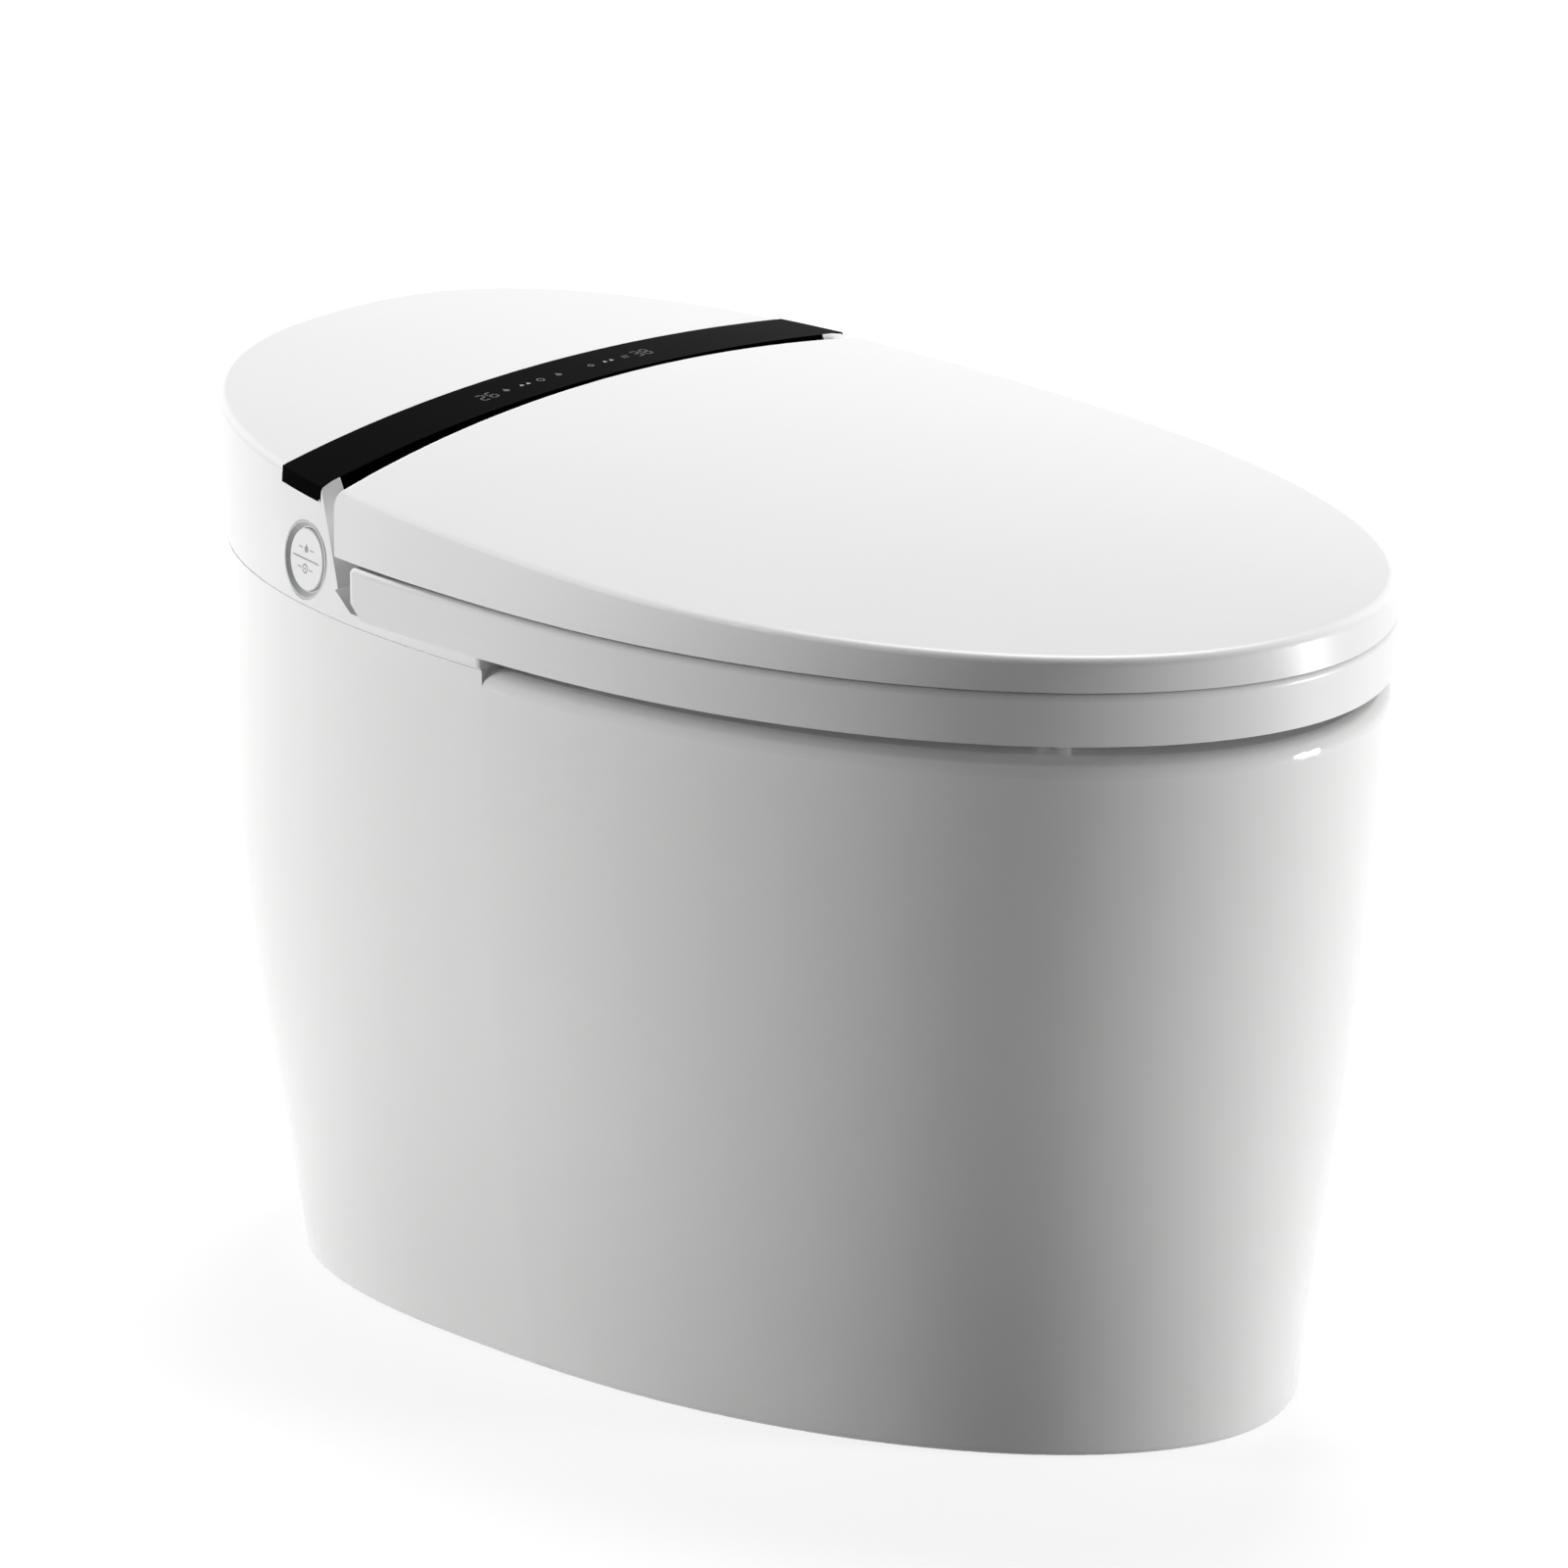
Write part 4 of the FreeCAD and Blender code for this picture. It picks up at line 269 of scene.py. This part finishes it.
def dark_glossy(name, colour):
    """The strip's smoked acrylic, with faint wiping marks."""
    finish = Finish(name, ior=1.4, specular_ior_level=0.003)
    finish.tint(finish.noise(30, 2), shade(colour, 0.8), shade(colour, 1.3))
    return finish.rough(0.06 + finish.noise(80, 4, finish.stretched(1, 6, 1)) * 0.10).material


def rubber(name, colour):
    """Soft rubber with a powdery skin."""
    finish = Finish(name, specular_ior_level=0.3)
    finish.tint(finish.noise(180, 3), shade(colour, 0.82), shade(colour, 1.12))
    finish.rough(0.62 + finish.noise(240, 2) * 0.2)
    return finish.relief(finish.noise(2600, 2), 0.00003, 0.6).material


def brushed_steel(name, colour, roughness):
    """Steel brushed across the toilet, so that the lines run along X."""
    finish = Finish(name, metallic=1.0)
    lines = finish.noise(1, 4, finish.stretched(40, 2600, 2600))
    finish.tint(lines, shade(colour, 0.86), shade(colour, 1.1))
    finish.rough(roughness + lines * 0.16)
    return finish.relief(lines, 0.000012, 0.6).material


def painted_steel(name, colour):
    """Sheet or housing in sprayed paint, a little speckled."""
    finish = Finish(name, metallic=0.2)
    finish.tint(finish.noise(700, 3), shade(colour, 0.8), shade(colour, 1.15))
    finish.rough(0.36 + finish.noise(160, 2) * 0.18)
    return finish.relief(finish.noise(1500, 2), 0.00003, 0.5).material


def turned_brass(name, colour):
    """Brass with the fine rings that turning leaves, along Y."""
    finish = Finish(name, metallic=1.0)
    rings = finish.node("ShaderNodeTexWave", {"wave_type": "BANDS", "bands_direction": "Y"},
                        {"Vector": finish.place, "Scale": 150.0, "Distortion": 0.3})
    finish.tint(finish.noise(260, 3), shade(colour, 0.7), shade(colour, 1.1))
    finish.rough(0.22 + rings * 0.14)
    return finish.relief(rings, 0.0003, 0.8).material


def circuit_board(name):
    """Green solder mask with paler tracks and small tinned pads."""
    finish = Finish(name, specular_ior_level=0.5)
    tracks = finish.cells(210, "DISTANCE_TO_EDGE") < 0.07
    finish.tint(tracks, (0.006, 0.07, 0.028), (0.03, 0.17, 0.07))
    finish.rough(0.34 + tracks * 0.12)
    return finish.relief(tracks, 0.00004, 0.7).material


def warming_film(name):
    """Amber film with a fine wire laid to and fro across the seat."""
    finish = Finish(name)
    wire = finish.node("ShaderNodeTexWave", {"wave_type": "BANDS", "bands_direction": "X"},
                       {"Vector": finish.place, "Scale": 34.0, "Distortion": 2.2}) > 0.86
    finish.tint(wire, (0.52, 0.24, 0.045), (0.20, 0.045, 0.02))
    finish.rough(0.42 - wire * 0.1)
    return finish.relief(wire, 0.0003, 0.8).material


def carbon_cells(name):
    """Open cells of filter carbon, darker towards each cell's sunken middle as painted shade."""
    finish = Finish(name, specular_ior_level=0.25)
    cell = finish.cells(320)
    # Darker towards each cell's sunken middle, where the relief dips: painted shade in the hollows.
    finish.tint(cell, (0.004, 0.004, 0.004), (0.035, 0.035, 0.037))
    finish.rough(0.9 - cell * 0.25)
    return finish.relief(cell, 0.0012, 0.9).material


def lit_sign(name, colour, strength):
    """A sign lit from below the strip, a little uneven as small lamps are."""
    finish = Finish(name, emission_strength=strength)
    glow = finish.node("ShaderNodeMix", {"data_type": "RGBA"},
                       {0: finish.noise(900, 1), 6: (*shade(colour, 0.55), 1), 7: (*colour, 1)}, 2)
    finish.tree.links.new(glow.socket, finish.shader.inputs["Emission Color"])
    return finish.tint(finish.noise(900, 1), shade(colour, 0.1), shade(colour, 0.2)).material


def make_finishes(looks):
    """One material for each of the record's slots."""
    gloss = looks.plastic_roughness
    return {
        "glazed_white": glazed_ceramic("glazed_white", looks.glaze, looks.glaze_roughness),
        "white_plastic": moulded_plastic("white_plastic", looks.plastic, gloss),
        "satin_white": moulded_plastic("satin_white", looks.satin, 0.42, 0.00004),
        "dark_panel": dark_glossy("dark_panel", looks.strip),
        "button_grey": moulded_plastic("button_grey", looks.ring, 0.26),
        "circuit_board": circuit_board("circuit_board"),
        "heater_film": warming_film("heater_film"),
        "bumper_rubber": rubber("bumper_rubber", looks.pale_rubber),
        "seal_rubber": rubber("seal_rubber", looks.dark_rubber),
        "hose_white": rubber("hose_white", looks.pale_rubber),
        "bracket_steel": brushed_steel("bracket_steel", looks.steel, 0.3),
        "wand_steel": brushed_steel("wand_steel", looks.steel, 0.16),
        "brass_tail": turned_brass("brass_tail", looks.brass),
        "frame_steel": painted_steel("frame_steel", shade(looks.steel, 0.55)),
        "motor_steel": painted_steel("motor_steel", shade(looks.machine, 0.5)),
        "machine_grey": moulded_plastic("machine_grey", looks.machine, 0.4, 0.00004),
        "machine_black": moulded_plastic("machine_black", shade(looks.machine, 0.15), 0.42, 0.00004),
        "drive_grey": moulded_plastic("drive_grey", shade(looks.satin, 0.6), 0.4, 0.00004),
        "carbon": carbon_cells("carbon"),
    }


FINISHES = {}


def paint(piece, finish):
    """Give a piece one material in place of what it had."""
    piece.data.materials.clear()
    piece.data.materials.append(FINISHES[finish])
    return piece


# ------------------------------------------------------------------ modelling

def surface_of(node):
    """A CAD node's surface for dropping points onto."""
    mesh = NODES[node].data
    return BVHTree.FromPolygons([v.co for v in mesh.vertices], [list(p.vertices) for p in mesh.polygons])


def drop(tree, point, way):
    """Where a line from a point along a direction meets a surface."""
    hit, _, _, _ = tree.ray_cast(point, way)
    if hit is None:
        raise RuntimeError(f"nothing lies below {tuple(point)}")
    return hit


def finished(mesh, name, body, finish):
    """A piece from a closed mesh, turned outwards and riding on a body."""
    bmesh.ops.recalc_face_normals(mesh, faces=mesh.faces)
    data = bpy.data.meshes.new(name)
    mesh.to_mesh(data)
    mesh.free()
    piece = bpy.data.objects.new(name, data)
    bpy.context.scene.collection.objects.link(piece)
    paint(piece, finish)
    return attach(piece, body)


def lay(mesh, node, place):
    """Move a flat drawing to its place and let it down along its own Z onto a node's surface."""
    tree = surface_of(node)
    outward = place.to_3x3() @ Vector((0, 0, 1))
    for vert in mesh.verts:
        start = place @ Vector((vert.co.x, vert.co.y, 0.05))
        vert.co = drop(tree, start, -outward) + outward * vert.co.z


def frame_at(point, level, outward):
    """A frame at a point, with its X and Z along two directions."""
    place = Matrix((level, outward.cross(level), outward)).transposed().to_4x4()
    place.translation = point
    return place


def add_bar(mesh, x, y, length, width, thickness, turn=0.0):
    """A flat bar with softened ends, centred on a point and turned in its plane."""
    place = Matrix.Translation((x, y, 0)) @ Matrix.Rotation(turn, 4, "Z")
    made = bmesh.ops.create_cube(mesh, size=1, matrix=place @ Matrix.Diagonal((length, width, thickness, 1)))
    uprights = [edge for edge in {edge for vert in made["verts"] for edge in vert.link_edges}
                if abs(edge.verts[0].co.z - edge.verts[1].co.z) > thickness / 2]
    bmesh.ops.bevel(mesh, geom=uprights, offset=width * 0.4, affect="EDGES", segments=3, profile=0.5,
                    material=-1)


def add_plate(mesh, x, y, radius, sides, thickness, point=1.0):
    """A flat round or cornered plate; its farthest part along +Y is drawn out by a factor."""
    ring = bmesh.ops.create_circle(mesh, cap_ends=True, radius=radius, segments=sides)["verts"]
    for vert in ring:
        if vert.co.y > radius * 0.5:
            vert.co.x *= 2 - point
            vert.co.y *= point
    bmesh.ops.translate(mesh, verts=ring, vec=(x, y, -thickness / 2))
    face = next(face for face in ring[0].link_faces)
    top = bmesh.ops.extrude_face_region(mesh, geom=[face])["geom"]
    bmesh.ops.translate(mesh, verts=[item for item in top if isinstance(item, bmesh.types.BMVert)],
                        vec=(0, 0, thickness))


def add_hoop(mesh, x, y, radius, width, thickness, sides=28):
    """A flat ring."""
    section = bmesh.ops.create_circle(mesh, cap_ends=False, radius=width / 2, segments=4)["verts"]
    for vert in section:
        vert.co = Vector((x + radius + vert.co.x * 1.2, y, vert.co.y * thickness / width * 1.4))
    edges = list({edge for vert in section for edge in vert.link_edges})
    bmesh.ops.spin(mesh, geom=section + edges, cent=(x, y, 0), axis=(0, 0, 1), angle=2 * math.pi,
                   steps=sides, use_merge=True)


SEGMENTS = {"a": (0, 1, 0), "b": (1, 0.5, 1), "c": (1, -0.5, 1), "d": (0, -1, 0), "e": (-1, -0.5, 1),
            "f": (-1, 0.5, 1), "g": (0, 0, 0)}
DIGITS = {"0": "abcdef", "1": "bc", "2": "abged", "3": "abgcd", "4": "fgbc", "5": "afgcd", "6": "afgedc",
          "7": "abc", "8": "abcdefg", "9": "abcdfg"}


def add_number(mesh, text, x, y, height, thickness):
    """A number in bars, as on a clock."""
    half_height, half_width, bar = height / 2, height * 0.27, height * 0.11
    for index, letter in enumerate(text):
        middle = x + (index - (len(text) - 1) / 2) * height * 0.85
        for side, level, upright in (SEGMENTS[name] for name in DIGITS[letter]):
            length = (half_height if upright else 2 * half_width) * 0.82
            add_bar(mesh, middle + side * half_width, y + level * half_height, length, bar, thickness,
                    math.pi / 2 * upright)


# ------------------------------------------------------------------ one operator for each group of pieces

class ToiletOperator(bpy.types.Operator):
    """What the toilet's operators have in common."""

    bl_options = {"REGISTER", "UNDO"}

    def execute(self, context):
        self.build(context.scene)
        return {"FINISHED"}


class TOILET_OT_finishes(ToiletOperator):
    """Make the materials and give each CAD piece its own"""

    bl_idname = "toilet.finishes"
    bl_label = "Finishes"

    def build(self, scene):
        FINISHES.update(make_finishes(scene.toilet_finishes))
        for name, node in NODES.items():
            paint(node, SLOTS[name])


class TOILET_OT_display(ToiletOperator):
    """Light numbers and small signs under the dark strip"""

    bl_idname = "toilet.display"
    bl_label = "Display signs"

    # where each sign stands across the strip, in metres
    NUMBERS = (-0.0446, 0.066)
    ARROWS = (-0.0177, 0.0421)
    DROPS = (-0.0310, 0.0064)
    RINGS = ((-0.0066, 0.42), (0.0296, 0.30))
    STEAM = 0.0543

    def build(self, scene):
        look = scene.toilet_display
        FINISHES["lit_sign"] = lit_sign("lit_sign", scene.toilet_finishes.glow, look.glow_strength)
        FINISHES["dim_sign"] = lit_sign("dim_sign", shade(scene.toilet_finishes.glow, 0.1),
                                        look.glow_strength)
        thick, step = SIGN_THICKNESS, look.sign_size
        numbers = bmesh.new()
        for text, x in zip((look.left_number, look.right_number), self.NUMBERS):
            add_number(numbers, text, x, look.place, look.digit_height, thick)
        self.lay(numbers, "display_numbers", "dim_sign")
        bright = bmesh.new()
        for x in self.ARROWS:
            for shift in (-0.5, 0.5):
                add_plate(bright, x + shift * step, look.place, step * 0.34, 3, thick)
        self.lay(bright, "display_arrows", "lit_sign")
        dim = bmesh.new()
        for x in self.DROPS:
            add_plate(dim, x, look.place, step * 0.38, 20, thick, DROP_POINT)
        for x, size in self.RINGS:
            add_hoop(dim, x, look.place, step * size, step * 0.16, thick)
        for shift in (-1, 0, 1):
            add_bar(dim, self.STEAM + shift * step * 0.32, look.place, step * 0.9, step * 0.13, thick,
                    1.35)
        self.lay(dim, "display_signs", "dim_sign")

    def lay(self, mesh, name, finish):
        """Lay flat signs on the strip's curved top."""
        lay(mesh, "display_panel", Matrix.Translation((0, 0, 1)))
        finished(mesh, name, "base", finish)


class TOILET_OT_button(ToiletOperator):
    """Print a parting line and two plain signs on the flush button"""

    bl_idname = "toilet.button"
    bl_label = "Flush button marks"

    def build(self, scene):
        look = scene.toilet_button
        FINISHES["button_print"] = moulded_plastic("button_print", scene.toilet_finishes.marks, 0.4)
        thick, step = PRINT_THICKNESS, look.sign_size
        outward = -Vector(JOINTS["flush_button_press"]["axis"]).normalized()
        low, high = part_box("button_cap")
        middle = (low + high) / 2
        face = drop(surface_of("button_cap"), middle + outward * 0.05, -outward)
        across = Vector((0, 0, 1)).cross(outward).normalized()
        marks = bmesh.new()
        add_bar(marks, 0, 0, look.line_length, look.line_width, thick)
        add_plate(marks, 0, step * 1.15, step * 0.42, 24, thick, DROP_POINT)
        for side in (-1, 1):
            add_bar(marks, side * step * 1.25, step * 1.2, step * 0.9, step * 0.14, thick)
            add_bar(marks, side * step * 1.25, -step * 1.2, step * 0.9, step * 0.14, thick)
        add_hoop(marks, 0, -step * 1.2, step * 0.5, step * 0.16, thick)
        add_plate(marks, 0, -step * 1.2, step * 0.16, 16, thick)
        bmesh.ops.transform(marks, matrix=frame_at(face, across, outward), verts=marks.verts)
        finished(marks, "button_marks", "button", "button_print")


class TOILET_OT_sprays(ToiletOperator):
    """Lay flat dark discs on the top of both wand tips as painted shade for the spray holes"""

    bl_idname = "toilet.sprays"
    bl_label = "Spray holes"

    def build(self, scene):
        look = scene.toilet_sprays
        for wand, rows in (("rear", look.rear_rows), ("front", look.front_rows)):
            # Each hole is a flat disc lying on the tip, not a cut into it; its dark colour is painted shade.
            holes = bmesh.new()
            for row in range(rows):
                for side in (-1, 0, 1):
                    add_plate(holes, side * look.spacing, (row - (rows - 1) / 2) * look.spacing,
                              look.hole_radius, 12, SIGN_THICKNESS)
            tip = f"{wand}_wash_wand_tip"
            along = Vector(JOINTS[f"{wand}_wand_slide"]["axis"]).normalized()
            low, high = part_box(tip)
            level = Vector((1, 0, 0))
            middle = (Vector(low) + Vector(high)) / 2 + along * look.shift
            lay(holes, tip, frame_at(middle, level, along.cross(level)))
            # The dark seal rubber finish paints the shade inside each hole.
            finished(holes, f"{wand}_spray_holes", f"{wand}_wand", "seal_rubber")


class TOILET_OT_studio(ToiletOperator):
    """Set up the pale floor, the lamps, the background and the camera"""

    bl_idname = "toilet.studio"
    bl_label = "Studio"

    # name, place, point that it faces, width, height, and whether gloss mirrors it
    LAMPS = (("key", (0.6, 0.4, 2.4), (0, 0.1, 0.4), 1.05, 1.05, True),
             ("side", (-3.03, 3.55, 0.50), (0, 0.1, 0.25), 1.15, 0.85, False),
             ("rim", (1.70, -3.05, 0.50), (0.1, -0.1, 0.25), 0.75, 0.85, True))

    def build(self, scene):
        look = scene.toilet_studio
        self.make_floor(look)
        self.make_background(scene, look)
        for name, place, aim, width, height, mirrored in self.LAMPS:
            self.make_lamp(name, place, aim, width, height, getattr(look, f"{name}_power"), mirrored)
        self.make_camera(scene, look)

    def make_floor(self, look):
        """A plain pale floor that is white to the eye but keeps the shadow."""
        mesh = bmesh.new()
        bmesh.ops.create_grid(mesh, x_segments=1, y_segments=1, size=look.floor_size / 2)
        data = bpy.data.meshes.new("floor")
        mesh.to_mesh(data)
        mesh.free()
        floor = bpy.data.objects.new("floor", data)
        bpy.context.scene.collection.objects.link(floor)
        finish = Finish("floor", roughness=0.9, specular_ior_level=0.0, base_color=(0.4, 0.4, 0.4, 1),
                        emission_color=(1, 1, 1, 1))
        path = [finish.node("ShaderNodeLightPath", {}, {}, name)
                for name in ("Is Camera Ray", "Is Glossy Ray", "Is Transmission Ray")]
        seen = finish.node("ShaderNodeMath", {"operation": "MAXIMUM"}, {0: path[0] + path[1], 1: path[2]})
        reach = finish.node("ShaderNodeVectorMath", {"operation": "LENGTH"}, {0: finish.place}, "Value")
        lift = seen * finish.node("ShaderNodeMapRange", {},
                                  {"Value": reach, "From Min": 0.5, "From Max": 2.4, "To Min": 0.78,
                                   "To Max": 1.0})
        finish.tree.links.new(lift.socket, finish.shader.inputs["Emission Strength"])
        floor.data.materials.append(finish.material)

    def make_background(self, scene, look):
        """White where the camera or a mirror looks, dimmer as a light."""
        world = bpy.data.worlds.new("studio")
        world.use_nodes = True
        scene.world = world
        nodes, links = world.node_tree.nodes, world.node_tree.links
        path = nodes.new("ShaderNodeLightPath")
        strength = nodes.new("ShaderNodeMapRange")
        strength.inputs["To Min"].default_value = look.ambient
        seen = path.outputs["Is Camera Ray"]
        for name in ("Is Glossy Ray", "Is Transmission Ray"):
            either = nodes.new("ShaderNodeMath")
            either.operation = "MAXIMUM"
            links.new(seen, either.inputs[0])
            links.new(path.outputs[name], either.inputs[1])
            seen = either.outputs[0]
        links.new(seen, strength.inputs["Value"])
        nodes["Background"].inputs["Color"].default_value = (1, 1, 1, 1)
        links.new(strength.outputs[0], nodes["Background"].inputs["Strength"])

    def make_lamp(self, name, place, aim, width, height, power, mirrored):
        """A soft box that faces a point, and that gloss may mirror or not."""
        data = bpy.data.lights.new(name, "AREA")
        data.shape, data.size, data.size_y, data.energy = "RECTANGLE", width, height, power
        lamp = bpy.data.objects.new(name, data)
        lamp.location, lamp.visible_glossy = place, mirrored
        lamp.rotation_euler = (Vector(aim) - Vector(place)).to_track_quat("-Z", "Y").to_euler()
        bpy.context.scene.collection.objects.link(lamp)

    def make_camera(self, scene, look):
        """The camera at the photograph's angle."""
        data = bpy.data.cameras.new("camera")
        data.lens, data.sensor_width, data.sensor_fit = look.lens, 36, "HORIZONTAL"
        data.clip_end = 100
        camera = bpy.data.objects.new("camera", data)
        turn = (Matrix.Rotation(look.azimuth, 4, "Z")
                @ Matrix.Rotation(math.pi / 2 - look.elevation, 4, "X")
                @ Matrix.Rotation(look.roll, 4, "Z"))
        camera.matrix_world = Matrix.Translation(look.eye) @ turn
        scene.collection.objects.link(camera)
        scene.camera = camera
        scene.view_settings.view_transform = "Standard"


OPERATORS = (TOILET_OT_finishes, TOILET_OT_display, TOILET_OT_button, TOILET_OT_sprays,
             TOILET_OT_studio)


class TOILET_PT_sidebar(bpy.types.Panel):
    """The toilet's settings and operators in the sidebar"""

    bl_idname = "TOILET_PT_sidebar"
    bl_label = "Smart toilet"
    bl_space_type = "VIEW_3D"
    bl_region_type = "UI"
    bl_category = "Toilet"

    def draw(self, context):
        for operator in OPERATORS:
            self.layout.operator(operator.bl_idname)
        for name, group in SETTINGS.items():
            box = self.layout.box()
            for label in group.__annotations__:
                box.prop(getattr(context.scene, name), label)


CLASSES = (*SETTINGS.values(), *OPERATORS, TOILET_PT_sidebar)


def register():
    """Make the classes known to Blender."""
    for item in CLASSES:
        bpy.utils.register_class(item)
    for name, group in SETTINGS.items():
        setattr(bpy.types.Scene, name, PointerProperty(type=group))


def unregister():
    """Take the classes out of Blender again."""
    for name in SETTINGS:
        delattr(bpy.types.Scene, name)
    for item in reversed(CLASSES):
        bpy.utils.unregister_class(item)


def main():
    """Build everything in order."""
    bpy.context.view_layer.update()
    register()
    for operator in OPERATORS:
        group, name = operator.bl_idname.split(".")
        getattr(getattr(bpy.ops, group), name)()


if __name__ == "__main__":
    main()
